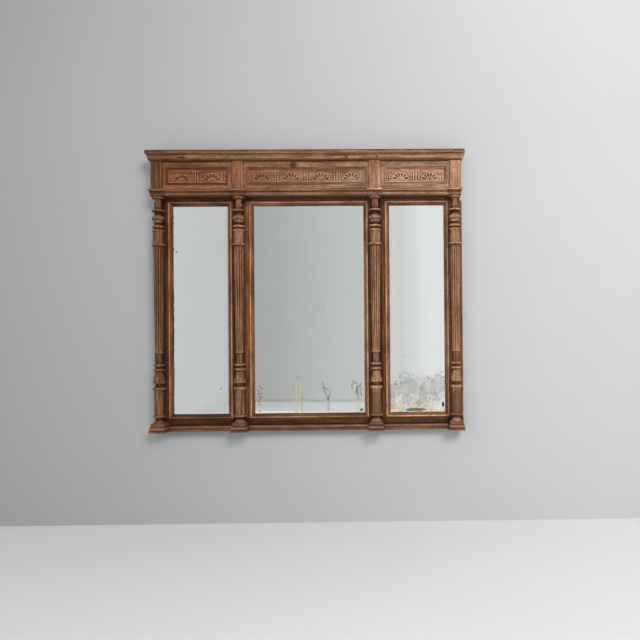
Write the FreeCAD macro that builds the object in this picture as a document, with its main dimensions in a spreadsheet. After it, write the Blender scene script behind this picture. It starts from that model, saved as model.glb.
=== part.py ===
import FreeCAD, Part
import math
import os

import Sketcher
from FreeCAD import Placement, Rotation, Vector

# Wall mirror with three fixed panes in one rigid oak frame, built like a small temple front: a
# crown cornice over a frieze of three carved panels, four turned and fluted columns on square
# plinths, and a base moulding. X runs right, Z up, and the front faces -Y. The wall is the plane
# Y = 0, and the origin lies midway between the two hanging holes.

DIMS = {
    # The whole mirror, measured over the cornice and from the wall.
    "overall_width": 1800.0,
    "overall_height": 1588.0,
    # Columns: how far the outer axes stand in from the ends, and the width of a side bay.
    "column_inset": 57.0,
    "side_bay_width": 456.0,
    "column_axis_depth": 78.0,
    # Flat framework of stiles, head board and bottom rail.
    "carcass_inset": 12.0,
    "carcass_thickness": 30.0,
    "bottom_rail_height": 71.0,
    # Clear of the column axes: the openings of the panes.
    "pane_gap_outer": 35.0,
    "pane_gap_inner": 55.0,
    "pane_gap_centre": 45.0,
    # Mitred moulding round each pane, and what sits in its rebate.
    "pane_stick_width": 25.0,
    "pane_stick_back": 4.0,
    "pane_stick_shoulder": 36.0,
    "pane_stick_hollow_foot": 22.0,
    "pane_rebate_inset": 14.0,
    "pane_bead_width": 9.0,
    "pane_bead_radius": 10.0,
    "pane_hollow_radius": 40.0,
    "pane_fillet_width": 2.0,
    "glass_thickness": 4.0,
    "glass_face": 20.0,
    "backboard_thickness": 6.0,
    "glazing_bead_width": 8.0,
    # Frieze box, and how far the head board reaches down below it.
    "frieze_height": 191.0,
    "frieze_face": 100.0,
    "frieze_board": 18.0,
    "head_drop": 20.0,
    # Clear of the column axes: the openings of the carved panels.
    "panel_gap_outer": 49.0,
    "panel_gap_inner": 57.0,
    "panel_gap_centre": 49.0,
    "panel_margin_above": 32.0,
    "panel_margin_below": 25.0,
    "panel_face": 94.0,
    "panel_thickness": 10.0,
    "panel_stick_width": 12.0,
    "panel_stick_edge": 1.5,
    "panel_stick_land": 3.0,
    "panel_stick_height": 7.0,
    "panel_stick_radius": 20.0,
    "soffit_thickness": 12.0,
    "lid_thickness": 12.0,
    "block_width": 62.0,
    "block_projection": 12.0,
    "block_arris": 3.0,
    # Crown cornice.
    "cornice_height": 56.0,
    "cornice_width": 40.0,
    "cornice_overhang": 22.0,
    "cornice_lip_height": 19.0,
    "cornice_lip_step": 3.0,
    "cornice_hollow_foot": 12.0,
    "cornice_round_height": 10.0,
    "cornice_round_radius": 13.0,
    "cornice_hollow_radius": 40.0,
    # Architrave, which breaks forward over every column as its capital block.
    "architrave_height": 32.0,
    "architrave_projection": 12.0,
    "architrave_bead": 9.0,
    "architrave_bead_radius": 9.0,
    "architrave_step": 3.0,
    "architrave_foot": 4.0,
    "architrave_hollow_radius": 40.0,
    "capital_drop": 5.0,
    # Plinths and base moulding.
    "plinth_width": 90.0,
    "plinth_front": 123.0,
    "plinth_height": 53.0,
    "plinth_fillet": 12.0,
    "plinth_step": 1.5,
    "plinth_round_height": 18.0,
    "plinth_round_inset": 3.5,
    "plinth_round_radius": 40.0,
    "plinth_tier_inset": 5.5,
    "plinth_top_inset": 8.5,
    "base_height": 34.0,
    "base_front": 66.0,
    "base_fillet": 21.0,
    "base_top_inset": 16.0,
    "base_step": 3.0,
    "base_round_radius": 13.0,
    # Turned members of a column above its shaft, from the top down.
    "upper_neck_height": 75.0,
    "upper_neck_radius": 19.0,
    "disc_height": 9.0,
    "disc_radius": 37.5,
    "disc_neck_height": 23.0,
    "disc_neck_radius": 15.5,
    "bulb_height": 17.0,
    "bulb_radius": 37.0,
    "collar_height": 40.0,
    "collar_radius": 27.0,
    "drum_height": 100.0,
    "drum_radius": 32.3,
    "drum_ring_height": 14.0,
    "drum_ring_radius": 38.8,
    # The shaft itself, which tapers downwards from that ring.
    "shaft_top_radius": 30.3,
    "shaft_foot_radius": 22.3,
    "flute_radius": 14.0,
    "flute_depth": 1.6,
    "flute_run_out": 3.0,
    # Turned members below the shaft, from the top down.
    "foot_neck_height": 108.0,
    "foot_neck_radius": 19.0,
    "bell_height": 71.0,
    "bell_radius": 36.0,
    "bell_rim_height": 38.0,
    "foot_drum_height": 142.0,
    "foot_drum_radius": 27.7,
    "cap_neck_height": 27.0,
    "cap_neck_radius": 22.3,
    "cap_height": 18.0,
    "cap_radius": 33.0,
    # Hanging plates let flush into the back of the head board, placed by their entry holes.
    "hanging_inset": 200.0,
    "hanging_drop": 128.0,
    "hanging_plate_width": 32.0,
    "hanging_plate_height": 64.0,
    "hanging_plate_thickness": 2.0,
    "hanging_hole_radius": 5.5,
    "hanging_slot_width": 5.0,
    "hanging_slot_rise": 14.0,
    "hanging_pocket_width": 16.0,
    "hanging_pocket_below": 9.0,
    "hanging_pocket_above": 19.0,
    "hanging_pocket_depth": 12.0,
}

FLUTE_COUNT = 12

SIDES = {"left": -1, "right": 1}

# Turns a piece drawn flat, X right and Y up, so that it stands and faces the room.
UPRIGHT = Rotation(Vector(1, 0, 0), 90)
LEVEL = Rotation()


class Size:
    """A length: its present value and the expression that ties it to the sheet."""

    def __init__(self, text, value):
        self.text = text
        self.value = value

    def __add__(self, other):
        return Size(f"({self.text} + {other.text})", self.value + other.value)

    def __sub__(self, other):
        return Size(f"({self.text} - {other.text})", self.value - other.value)

    def __neg__(self):
        return Size(f"(-1 * {self.text})", -self.value)

    def __mul__(self, factor):
        return Size(f"({self.text} * {factor})", self.value * factor)

    def __truediv__(self, divisor):
        return Size(f"({self.text} / {divisor})", self.value / divisor)


class Sizes:
    """The driving dimensions, read as attributes and held in the document's sheet."""

    def __init__(self, document, lengths):
        sheet = document.addObject("Spreadsheet::Sheet", "Dims")
        for row, (alias, length) in enumerate(lengths.items(), start=1):
            sheet.set(f"A{row}", alias)
            sheet.set(f"B{row}", str(length))
            sheet.setAlias(f"B{row}", alias)
            setattr(self, alias, Size(f"Dims.{alias}", length))
        document.recompute()


ZERO = Size("0", 0.0)
doc = FreeCAD.newDocument("ThreePaneMirror")
d = Sizes(doc, DIMS)
nodes = []


def bind(item, **sizes):
    """Tie properties of an object to the sheet."""
    for name, size in sizes.items():
        item.setExpression(name, size.text)


def place(item, x=ZERO, y=ZERO, z=ZERO, rotation=LEVEL):
    """Put an object at a point that follows the sheet."""
    item.Placement = Placement(Vector(x.value, y.value, z.value), rotation)
    for axis, size in (("x", x), ("y", y), ("z", z)):
        item.setExpression(f"Placement.Base.{axis}", size.text)
    return item


def level(height):
    """Height above the base turned into height above the origin."""
    return height - d.overall_height + d.hanging_drop


def node(item, label):
    """Name an object as a finished sub-part."""
    item.Label = label
    nodes.append(item)
    return item


def arc_between(start, end, radius, turn):
    """Minor arc from start to end: turn is 1 for anticlockwise and -1 for clockwise."""
    chord = end - start
    rise = math.sqrt(max(radius * radius - chord.Length * chord.Length / 4, 0.0))
    side = Vector(-chord.y, chord.x, 0).normalize() * rise * turn
    centre = (start + end) / 2 + side
    first, last = (start, end) if turn > 0 else (end, start)
    angles = [math.atan2(p.y - centre.y, p.x - centre.x) for p in (first, last)]
    if angles[1] < angles[0]:
        angles[1] += 2 * math.pi
    return Part.ArcOfCircle(Part.Circle(centre, Vector(0, 0, 1), radius), *angles)


def sketch_on(body, role):
    """New sketch on one of the body's own origin planes."""
    sketch = body.newObject("Sketcher::SketchObject", body.Name + "Sketch")
    plane = next(f for f in body.Origin.OriginFeatures if f.Role == role)
    sketch.AttachmentSupport = [(plane, "")]
    sketch.MapMode = "FlatFace"
    return sketch


def outline(body, role, points):
    """Closed outline through points (across, up), each tied to the sheet.

    A point may go on with a radius and a turn: the arc that then leads to the next point.
    """
    sketch = sketch_on(body, role)
    spots = [Vector(p[0].value, p[1].value, 0) for p in points]
    joints = []
    for i, point in enumerate(points):
        start, end = spots[i], spots[(i + 1) % len(points)]
        if len(point) == 2:
            index = sketch.addGeometry(Part.LineSegment(start, end))
            joints.append((index, 1, 2))
        else:
            radius, turn = point[2:]
            index = sketch.addGeometry(arc_between(start, end, radius.value, turn))
            joints.append((index, 1, 2) if turn > 0 else (index, 2, 1))
            tie = sketch.addConstraint(Sketcher.Constraint("Radius", index, radius.value))
            sketch.setExpression(f"Constraints[{tie}]", radius.text)
    for i, point in enumerate(points):
        index, first, _ = joints[i]
        before, _, last = joints[i - 1]
        sketch.addConstraint(Sketcher.Constraint("Coincident", before, last, index, first))
        for kind, size in (("DistanceX", point[0]), ("DistanceY", point[1])):
            tie = sketch.addConstraint(Sketcher.Constraint(kind, -1, 1, index, first, size.value))
            sketch.setExpression(f"Constraints[{tie}]", size.text)
    return sketch


def extruded(name, role, points, length):
    """Body with one outline padded square to its plane."""
    body = doc.addObject("PartDesign::Body", name)
    pad = body.newObject("PartDesign::Pad", name + "Pad")
    pad.Profile = outline(body, role, points)
    bind(pad, Length=length)
    return body


def board(name, x, y, z):
    """Plain board given as (low, high) pairs, the depths counted from the wall."""
    box = doc.addObject("Part::Box", name)
    bind(box, Length=x[1] - x[0], Width=y[1] - y[0], Height=z[1] - z[0])
    return place(box, x[0], -y[1], level(z[0]))


def boolean(kind, name, base, tool):
    """Common or Cut of two objects."""
    result = doc.addObject(kind, name)
    result.Base = base
    result.Tool = tool
    return result


def stick(name, profile, length, width, depth, mitres):
    """Moulding along X, centred, with its outer edge at Y = 0 and its mitred ends cut.

    The profile lies in the YZ plane. mitres holds 1 or 0 for the low and the high end.
    """
    half = length / 2
    run = extruded(name + "Run", "YZ_Plane", profile, length)
    place(run, -half)
    blank = doc.addObject("Part::Wedge", name + "Blank")
    bind(blank, Xmin=-half, Xmax=half, Ymin=ZERO, Ymax=width, Zmin=ZERO, Zmax=depth)
    bind(blank, X2min=width * mitres[0] - half, X2max=half - width * mitres[1])
    bind(blank, Z2min=ZERO, Z2max=depth)
    return boolean("Part::Common", name, run, blank)


def mitred_frame(label, profile, width, height, stick_width, depth):
    """Four mitred sticks round an opening, each a solid of its own, kept as one group."""
    sides = (
        ("Bottom", width, ZERO, -height / 2),
        ("Right", height, width / 2, ZERO),
        ("Top", width, ZERO, height / 2),
        ("Left", height, -width / 2, ZERO),
    )
    sticks = []
    for quarter, (side, length, x, y) in enumerate(sides):
        piece = stick(f"{label}_{side}", profile, length, stick_width, depth, (1, 1))
        turned = Rotation(Vector(0, 0, 1), quarter * 90)
        sticks.append(place(piece, x, y, ZERO, turned))
    group = doc.addObject("Part::Compound", label)
    group.Links = sticks
    return node(group, label)


def frieze_top():
    """Height at which the cornice starts."""
    return d.overall_height - d.cornice_height


def frieze_bottom():
    """Height of the underside of the frieze box."""
    return frieze_top() - d.frieze_height


def opening_top():
    """Height of the top edge of the openings, where the stiles meet the head board."""
    return frieze_bottom() - d.head_drop


def capital_bottom():
    """Height of the underside of the capital blocks."""
    return frieze_bottom() - d.capital_drop


def panel_edges():
    """Heights of the lower and the upper edge of the carved panels."""
    low = frieze_bottom() + d.architrave_height + d.panel_margin_below
    return low, frieze_top() - d.panel_margin_above


def frieze_half():
    """Half the width of the frieze box, under the overhang of the cornice."""
    return d.overall_width / 2 - d.cornice_overhang


def carcass_half():
    """Half the width of the flat framework."""
    return d.overall_width / 2 - d.carcass_inset


def column_axes():
    """Name and X of each column, from left to right."""
    outer = d.overall_width / 2 - d.column_inset
    inner = outer - d.side_bay_width
    return (("far_left", -outer), ("left", -inner), ("right", inner), ("far_right", outer))


def bay_openings(outer_gap, inner_gap, centre_gap):
    """Name, low X and high X of an opening in each bay, clear of the column axes."""
    inner, outer = (x for _, x in column_axes()[2:])
    low, high = inner + inner_gap, outer - outer_gap
    half = inner - centre_gap
    return (("left", -high, -low), ("centre", -half, half), ("right", low, high))


def pane_openings():
    """Openings in the flat framework, one to a pane."""
    return bay_openings(d.pane_gap_outer, d.pane_gap_inner, d.pane_gap_centre)


def panel_openings():
    """Openings in the frieze, one to a carved panel."""
    return bay_openings(d.panel_gap_outer, d.panel_gap_inner, d.panel_gap_centre)


def uprights_between(openings, half):
    """Name, low X and high X of the four upright boards that the openings leave."""
    edges = [-half] + [edge for _, low, high in openings for edge in (low, high)] + [half]
    names = [name for name, _ in column_axes()]
    return list(zip(names, edges[::2], edges[1::2]))


def bottom_rail():
    """Rail across the foot, behind the base moulding and the plinths."""
    half = carcass_half()
    rail = board("BottomRail", (-half, half), (ZERO, d.carcass_thickness),
                 (ZERO, d.bottom_rail_height))
    node(rail, "bottom_rail")


def stiles():
    """Four upright boards behind the columns."""
    for name, low, high in uprights_between(pane_openings(), carcass_half()):
        upright = board(f"Stile_{name}", (low, high), (ZERO, d.carcass_thickness),
                        (d.bottom_rail_height, opening_top()))
        node(upright, f"stile_{name}")


def hanging_axes():
    """Name and X of each hanging plate."""
    x = d.overall_width / 2 - d.hanging_inset
    return (("left", -x), ("right", x))


def head_board():
    """Board behind the frieze, let in at the back for the hanging plates."""
    half = frieze_half()
    blank = board("HeadBlank", (-half, half), (ZERO, d.carcass_thickness),
                  (opening_top(), frieze_top()))
    cutters = []
    for name, x in hanging_axes():
        half_width = d.hanging_plate_width / 2
        half_height = d.hanging_plate_height / 2
        seat = doc.addObject("Part::Box", f"PlateSeat_{name}")
        bind(seat, Length=d.hanging_plate_width, Height=d.hanging_plate_height)
        bind(seat, Width=d.hanging_plate_thickness)
        cutters.append(place(seat, x - half_width, -d.hanging_plate_thickness, -half_height))
        pocket = doc.addObject("Part::Box", f"HeadPocket_{name}")
        bind(pocket, Length=d.hanging_pocket_width, Width=d.hanging_pocket_depth)
        bind(pocket, Height=d.hanging_pocket_below + d.hanging_pocket_above)
        cutters.append(place(pocket, x - d.hanging_pocket_width / 2, -d.hanging_pocket_depth,
                             -d.hanging_pocket_below))
    tools = doc.addObject("Part::Compound", "HeadCutters")
    tools.Links = cutters
    node(boolean("Part::Cut", "HeadBoard", blank, tools), "head_board")


def through_cut(body, sketch, name):
    """Pocket that takes a sketch right through a body."""
    cut = body.newObject("PartDesign::Pocket", name)
    cut.Profile = sketch
    cut.Type = "ThroughAll"
    cut.Midplane = True


def round_hole(body, radius):
    """Sketch of a circle about the body's own origin."""
    sketch = sketch_on(body, "XZ_Plane")
    sketch.addGeometry(Part.Circle(Vector(0, 0, 0), Vector(0, 0, 1), radius.value))
    sketch.addConstraint(Sketcher.Constraint("Coincident", 0, 3, -1, 1))
    tie = sketch.addConstraint(Sketcher.Constraint("Radius", 0, radius.value))
    sketch.setExpression(f"Constraints[{tie}]", radius.text)
    return sketch


def hanging_plates():
    """Two flush steel keyhole plates: the screw head enters at the origin's height."""
    half_width = d.hanging_plate_width / 2
    half_height = d.hanging_plate_height / 2
    slot = d.hanging_slot_width / 2
    for name, x in hanging_axes():
        plate = extruded(f"HangingBlank_{name}", "XZ_Plane", [
            (-half_width, -half_height),
            (half_width, -half_height),
            (half_width, half_height),
            (-half_width, half_height),
        ], d.hanging_plate_thickness)
        through_cut(plate, round_hole(plate, d.hanging_hole_radius), f"EntryHole_{name}")
        key_slot = outline(plate, "XZ_Plane", [
            (-slot, ZERO),
            (slot, ZERO),
            (slot, d.hanging_slot_rise),
            (-slot, d.hanging_slot_rise),
        ])
        through_cut(plate, key_slot, f"KeySlot_{name}")
        place(plate, x)
        node(plate, f"hanging_plate_{name}")


def pane_stick_profile():
    """Section of the moulding round a pane: bead outside, hollow inside, rebate behind."""
    width = d.pane_stick_width
    return [
        (ZERO, d.pane_stick_back),
        (d.pane_rebate_inset, d.pane_stick_back),
        (d.pane_rebate_inset, d.glass_face),
        (width, d.glass_face),
        (width, d.pane_stick_hollow_foot),
        (width - d.pane_fillet_width, d.pane_stick_hollow_foot, d.pane_hollow_radius, -1),
        (d.pane_bead_width, d.pane_stick_shoulder, d.pane_bead_radius, 1),
        (ZERO, d.pane_stick_shoulder),
    ]


def mirror_frames():
    """Mitred moulding round each pane."""
    depth = d.pane_stick_shoulder + d.pane_bead_radius
    height = opening_top() - d.bottom_rail_height
    middle = (opening_top() + d.bottom_rail_height) / 2
    for name, low, high in pane_openings():
        frame = mitred_frame(f"mirror_frame_{name}", pane_stick_profile(), high - low,
                             height, d.pane_stick_width, depth)
        place(frame, (low + high) / 2, ZERO, level(middle), UPRIGHT)


def panes():
    """Glass and backboard of each pane, held in the rebate by glazing beads."""
    inset = d.pane_rebate_inset
    low = d.bottom_rail_height + inset
    high = opening_top() - inset
    glass_back = d.glass_face - d.glass_thickness
    board_back = glass_back - d.backboard_thickness
    bead = d.glazing_bead_width
    beads = []
    for name, opening_low, opening_high in pane_openings():
        left = opening_low + inset
        right = opening_high - inset
        glass = board(f"Glass_{name}", (left, right), (glass_back, d.glass_face), (low, high))
        node(glass, f"mirror_glass_{name}")
        back = board(f"Backboard_{name}", (left, right), (board_back, glass_back), (low, high))
        node(back, f"mirror_backboard_{name}")
        depth = (d.pane_stick_back, board_back)
        runs = (
            ((left, right), (low, low + bead)),
            ((left, right), (high - bead, high)),
            ((left, left + bead), (low + bead, high - bead)),
            ((right - bead, right), (low + bead, high - bead)),
        )
        for number, (across, up) in enumerate(runs, start=1):
            beads.append(board(f"GlazingBead_{name}_{number}", across, depth, up))
    group = doc.addObject("Part::Compound", "GlazingBeads")
    group.Links = beads
    node(group, "glazing_beads")


def frieze_front():
    """Rails and stiles of the frieze, with an opening for each panel."""
    half = frieze_half()
    depth = (d.frieze_face - d.frieze_board, d.frieze_face)
    low, high = panel_edges()
    top_rail = board("FriezeTopRail", (-half, half), depth, (high, frieze_top()))
    node(top_rail, "frieze_rail_top")
    bottom = board("FriezeBottomRail", (-half, half), depth, (frieze_bottom(), low))
    node(bottom, "frieze_rail_bottom")
    for name, left, right in uprights_between(panel_openings(), half):
        upright = board(f"FriezeStile_{name}", (left, right), depth, (low, high))
        node(upright, f"frieze_stile_{name}")


def frieze_box():
    """Ends, soffit and lid that close the frieze box against the head board."""
    half = frieze_half()
    inside = half - d.frieze_board
    front = d.frieze_face - d.frieze_board
    for name, sign in SIDES.items():
        across = (inside, half) if sign > 0 else (-half, -inside)
        end = board(f"FriezeEnd_{name}", across, (d.carcass_thickness, front),
                    (frieze_bottom(), frieze_top()))
        node(end, f"frieze_end_{name}")
    soffit = board("Soffit", (-inside, inside), (d.carcass_thickness, front),
                   (frieze_bottom(), frieze_bottom() + d.soffit_thickness))
    node(soffit, "soffit_board")
    rim = d.overall_width / 2 - d.cornice_width
    rim_front = d.frieze_face + d.block_projection + d.cornice_overhang - d.cornice_width
    lid = board("Lid", (-rim, rim), (ZERO, rim_front), (frieze_top(), frieze_top() + d.lid_thickness))
    node(lid, "top_board")


def panel_stick_profile():
    """Section of the small moulding that frames a carved panel."""
    face = d.panel_face
    return [
        (ZERO, face),
        (d.panel_stick_width, face),
        (d.panel_stick_width, face + d.panel_stick_edge, d.panel_stick_radius, 1),
        (d.panel_stick_land, face + d.panel_stick_height),
        (ZERO, face + d.panel_stick_height),
    ]


def frieze_panels():
    """Three sunk panels, each framed by a mitred moulding."""
    low, high = panel_edges()
    depth = d.panel_face + d.panel_stick_height
    for name, left, right in panel_openings():
        panel = board(f"FriezePanel_{name}", (left, right),
                      (d.panel_face - d.panel_thickness, d.panel_face), (low, high))
        node(panel, f"frieze_panel_{name}")
        frame = mitred_frame(f"panel_moulding_{name}", panel_stick_profile(), right - left,
                             high - low, d.panel_stick_width, depth)
        place(frame, (left + right) / 2, ZERO, level((low + high) / 2), UPRIGHT)


def frieze_blocks():
    """Four plain blocks on the frieze, one over each column, with eased front arrises."""
    half = d.block_width / 2
    front = d.block_projection
    ease = d.block_arris
    height = d.frieze_height - d.architrave_height
    for name, x in column_axes():
        block = extruded(f"FriezeBlock_{name}", "XY_Plane", [
            (-half, ZERO),
            (-half, ease - front),
            (ease - half, -front),
            (half - ease, -front),
            (half, ease - front),
            (half, ZERO),
        ], height)
        place(block, x, -d.frieze_face, level(frieze_bottom() + d.architrave_height))
        node(block, f"frieze_block_{name}")


def cornice_profile():
    """Section of the crown: lip above, hollow, and a quarter round below."""
    over = d.cornice_overhang
    lip = d.cornice_height - d.cornice_lip_height
    turn = d.cornice_round_height
    return [
        (over, ZERO),
        (d.cornice_width, ZERO),
        (d.cornice_width, d.cornice_height),
        (ZERO, d.cornice_height),
        (ZERO, lip),
        (d.cornice_lip_step, lip, d.cornice_hollow_radius, -1),
        (d.cornice_hollow_foot, turn, d.cornice_round_radius, 1),
    ]


def cornice():
    """Crown cornice: one run across the front, mitred to a return at either end."""
    front_depth = d.frieze_face + d.block_projection + d.cornice_overhang
    profile = cornice_profile()
    width = d.cornice_width
    height = d.cornice_height
    front = stick("cornice_front", profile, d.overall_width, width, height, (1, 1))
    place(front, ZERO, -front_depth, level(frieze_top()))
    node(front, "cornice_front")
    for name, sign in SIDES.items():
        mitres = (1, 0) if sign > 0 else (0, 1)
        side = stick(f"cornice_return_{name}", profile, front_depth, width, height, mitres)
        turned = Rotation(Vector(0, 0, 1), 90 * sign)
        place(side, d.overall_width / 2 * sign, -front_depth / 2, level(frieze_top()), turned)
        node(side, f"cornice_return_{name}")


def architrave_profile(back, foot):
    """Section of the architrave on a vertical face at a depth from the wall, seen along X."""
    top = d.architrave_height
    front = d.frieze_face + d.architrave_projection
    step = d.architrave_step
    return [
        (-back, ZERO),
        (-back, top),
        (-front, top, d.architrave_bead_radius, 1),
        (-front, top - d.architrave_bead),
        (step - front, top - d.architrave_bead, d.architrave_hollow_radius, -1),
        (-(d.frieze_face + foot), ZERO),
    ]


def architrave():
    """Moulding along the foot of the frieze, in three lengths between the capital blocks."""
    half = d.block_width / 2 + d.architrave_projection
    axes = column_axes()
    names = ("left", "centre", "right")
    for name, low, high in zip(names, axes[:-1], axes[1:]):
        length = high[1] - low[1] - half * 2
        profile = architrave_profile(d.frieze_face, d.architrave_foot)
        run = extruded(f"Architrave_{name}", "YZ_Plane", profile, length)
        place(run, low[1] + half, ZERO, level(frieze_bottom()))
        node(run, f"architrave_{name}")


def capital_blocks():
    """Architrave broken forward round each frieze block, with a thin slab over the column."""
    drop = d.capital_drop
    top = d.architrave_height + drop
    half = d.block_width / 2 + d.architrave_projection
    front = d.frieze_face + d.block_projection + d.architrave_projection
    bead = top - d.architrave_bead
    step = d.architrave_step
    foot = d.architrave_projection - d.architrave_foot
    hollow = d.architrave_hollow_radius
    bulge = d.architrave_bead_radius
    for name, x in column_axes():
        across = extruded(f"CapitalFace_{name}", "XZ_Plane", [
            (foot - half, ZERO),
            (half - foot, ZERO),
            (half - foot, drop, hollow, -1),
            (half - step, bead),
            (half, bead, bulge, 1),
            (half, top),
            (-half, top, bulge, 1),
            (-half, bead),
            (step - half, bead, hollow, -1),
            (foot - half, drop),
        ], front)
        along = extruded(f"CapitalSide_{name}", "YZ_Plane", [
            (-d.carcass_thickness, ZERO),
            (-d.carcass_thickness, top),
            (-front, top, bulge, 1),
            (-front, bead),
            (step - front, bead, hollow, -1),
            (foot - front, drop),
            (foot - front, ZERO),
        ], half * 2)
        place(along, -half)
        form = boolean("Part::Common", f"CapitalForm_{name}", across, along)
        notch = doc.addObject("Part::Box", f"CapitalNotch_{name}")
        bind(notch, Length=half * 2, Width=d.frieze_face, Height=top)
        place(notch, -half, -d.frieze_face, drop)
        block = boolean("Part::Cut", f"Capital_{name}", form, notch)
        place(block, x, ZERO, level(capital_bottom()))
        node(block, f"capital_block_{name}")


def upper_members():
    """Members above the shaft as (top radius, foot radius, height), from the top down."""
    return (
        (d.upper_neck_radius, d.upper_neck_radius, d.upper_neck_height),
        (d.disc_radius, d.disc_radius, d.disc_height),
        (d.disc_neck_radius, d.disc_neck_radius, d.disc_neck_height),
        (d.disc_neck_radius, d.bulb_radius, d.bulb_height),
        (d.collar_radius, d.collar_radius, d.collar_height),
        (d.drum_radius, d.drum_radius, d.drum_height),
    )


def lower_members():
    """Members below the shaft as (top radius, foot radius, height), from the top down."""
    return (
        (d.foot_neck_radius, d.foot_neck_radius, d.foot_neck_height),
        (d.foot_neck_radius, d.bell_radius, d.bell_height),
        (d.bell_radius, d.bell_radius, d.bell_rim_height),
        (d.foot_drum_radius, d.foot_drum_radius, d.foot_drum_height),
        (d.cap_neck_radius, d.cap_neck_radius, d.cap_neck_height),
        (d.cap_neck_radius, d.cap_radius, d.cap_height),
    )


def stacked(members, top):
    """Lathe outline of members stacked down from a height, and the height where they end."""
    points = []
    for top_radius, foot_radius, height in members:
        if not points or points[-1][0] is not top_radius:
            points.append((top_radius, top))
        top = top - height
        points.append((foot_radius, top))
    return points, top


def total_height(members):
    """Sum of the heights of a stack of members."""
    total = ZERO
    for _, _, height in members:
        total = total + height
    return total


def axis_of(body):
    """The upright axis of a body's own origin."""
    return (next(f for f in body.Origin.OriginFeatures if f.Role == "Z_Axis"), [""])


def fluted(body, top, foot):
    """Cut one flute along the taper of the shaft and repeat it round the axis."""
    fall = d.shaft_top_radius - d.shaft_foot_radius
    lean = math.degrees(math.atan2(fall.value, top.value - foot.value))
    flute = body.newObject("PartDesign::SubtractiveCylinder", body.Name + "Flute")
    bind(flute, Radius=d.flute_radius, Height=top - foot + d.flute_run_out * 2)
    place(flute, d.shaft_foot_radius + d.flute_radius - d.flute_depth, ZERO,
          foot - d.flute_run_out, Rotation(Vector(0, 1, 0), lean))
    flutes = body.newObject("PartDesign::PolarPattern", body.Name + "Flutes")
    flutes.Originals = [flute]
    flutes.Axis = axis_of(body)
    flutes.Angle = 360
    flutes.Occurrences = FLUTE_COUNT
    body.Tip = flutes


def columns():
    """Four turned columns: a lathe outline, the flutes of the shaft, then the ring over them."""
    height = capital_bottom() - d.plinth_height
    for name, x in column_axes():
        body = doc.addObject("PartDesign::Body", f"Column_{name}")
        shaft_foot = total_height(lower_members())
        upper, shaft_top = stacked(upper_members(), height)
        lower, foot = stacked(lower_members(), shaft_foot)
        shaft = [(d.shaft_top_radius, shaft_top), (d.shaft_foot_radius, shaft_foot)]
        turning = body.newObject("PartDesign::Revolution", f"Turning_{name}")
        turning.Profile = outline(body, "XZ_Plane", [(ZERO, height)] + upper + shaft + lower
                                  + [(ZERO, foot)])
        turning.ReferenceAxis = axis_of(body)
        turning.Angle = 360
        doc.recompute()
        ring_foot = shaft_top - d.drum_ring_height
        fluted(body, ring_foot, shaft_foot)
        doc.recompute()
        ring = body.newObject("PartDesign::AdditiveCylinder", f"DrumRing_{name}")
        bind(ring, Radius=d.drum_ring_radius, Height=d.drum_ring_height)
        place(ring, ZERO, ZERO, ring_foot)
        place(body, x, -d.column_axis_depth, level(d.plinth_height))
        node(body, f"column_{name}")


def plinths():
    """Square plinth under each column: fillet, round and a battered tier on three sides."""
    half = d.plinth_width / 2
    front = d.plinth_front
    fillet = d.plinth_fillet
    round_top = fillet + d.plinth_round_height
    top = d.plinth_height
    step = d.plinth_step
    inset = d.plinth_round_inset
    tier = d.plinth_tier_inset
    neck = d.plinth_top_inset
    radius = d.plinth_round_radius
    for name, x in column_axes():
        across = extruded(f"PlinthFace_{name}", "XZ_Plane", [
            (-half, ZERO),
            (half, ZERO),
            (half, fillet),
            (half - step, fillet, radius, 1),
            (half - inset, round_top),
            (half - tier, round_top),
            (half - neck, top),
            (neck - half, top),
            (tier - half, round_top),
            (inset - half, round_top, radius, 1),
            (step - half, fillet),
            (-half, fillet),
        ], front)
        along = extruded(f"PlinthSide_{name}", "YZ_Plane", [
            (-d.carcass_thickness, ZERO),
            (-d.carcass_thickness, top),
            (neck - front, top),
            (tier - front, round_top),
            (inset - front, round_top, radius, 1),
            (step - front, fillet),
            (-front, fillet),
            (-front, ZERO),
        ], d.plinth_width)
        place(along, -half)
        block = boolean("Part::Common", f"Plinth_{name}", across, along)
        place(block, x, ZERO, level(ZERO))
        node(block, f"plinth_{name}")


def base_mouldings():
    """Base moulding in three lengths between the plinths: fillet, step and round."""
    front = d.base_front
    axes = column_axes()
    names = ("left", "centre", "right")
    for name, low, high in zip(names, axes[:-1], axes[1:]):
        length = high[1] - low[1] - d.plinth_width
        run = extruded(f"BaseMoulding_{name}", "YZ_Plane", [
            (-d.carcass_thickness, ZERO),
            (-d.carcass_thickness, d.base_height),
            (d.base_top_inset - front, d.base_height, d.base_round_radius, 1),
            (d.base_step - front, d.base_fillet),
            (-front, d.base_fillet),
            (-front, ZERO),
        ], length)
        place(run, low[1] + d.plinth_width / 2, ZERO, level(ZERO))
        node(run, f"base_moulding_{name}")


def check_and_export():
    """Refuse any failed object, then write each sub-part to its own file."""
    doc.recompute()
    for item in doc.Objects:
        if {"Invalid", "Error"} & set(item.State):
            raise RuntimeError(f"{item.Name} failed: {item.State}")
    os.makedirs("parts", exist_ok=True)
    for item in nodes:
        shape = item.Shape
        if shape.isNull() or not shape.isValid() or not shape.Solids:
            raise RuntimeError(f"{item.Label} has no valid solid")
        shape.exportStep(f"parts/{item.Label}.step")
    print(len(nodes), "nodes written")


bottom_rail()
stiles()
head_board()
hanging_plates()
mirror_frames()
panes()
frieze_front()
frieze_box()
frieze_panels()
frieze_blocks()
cornice()
architrave()
capital_blocks()
columns()
plinths()
base_mouldings()
check_and_export()
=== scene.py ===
import logging
import math
from dataclasses import dataclass
from enum import Enum
from typing import Callable, Iterable, Sequence

import bpy
import numpy as np
from mathutils import Matrix, Vector


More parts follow.
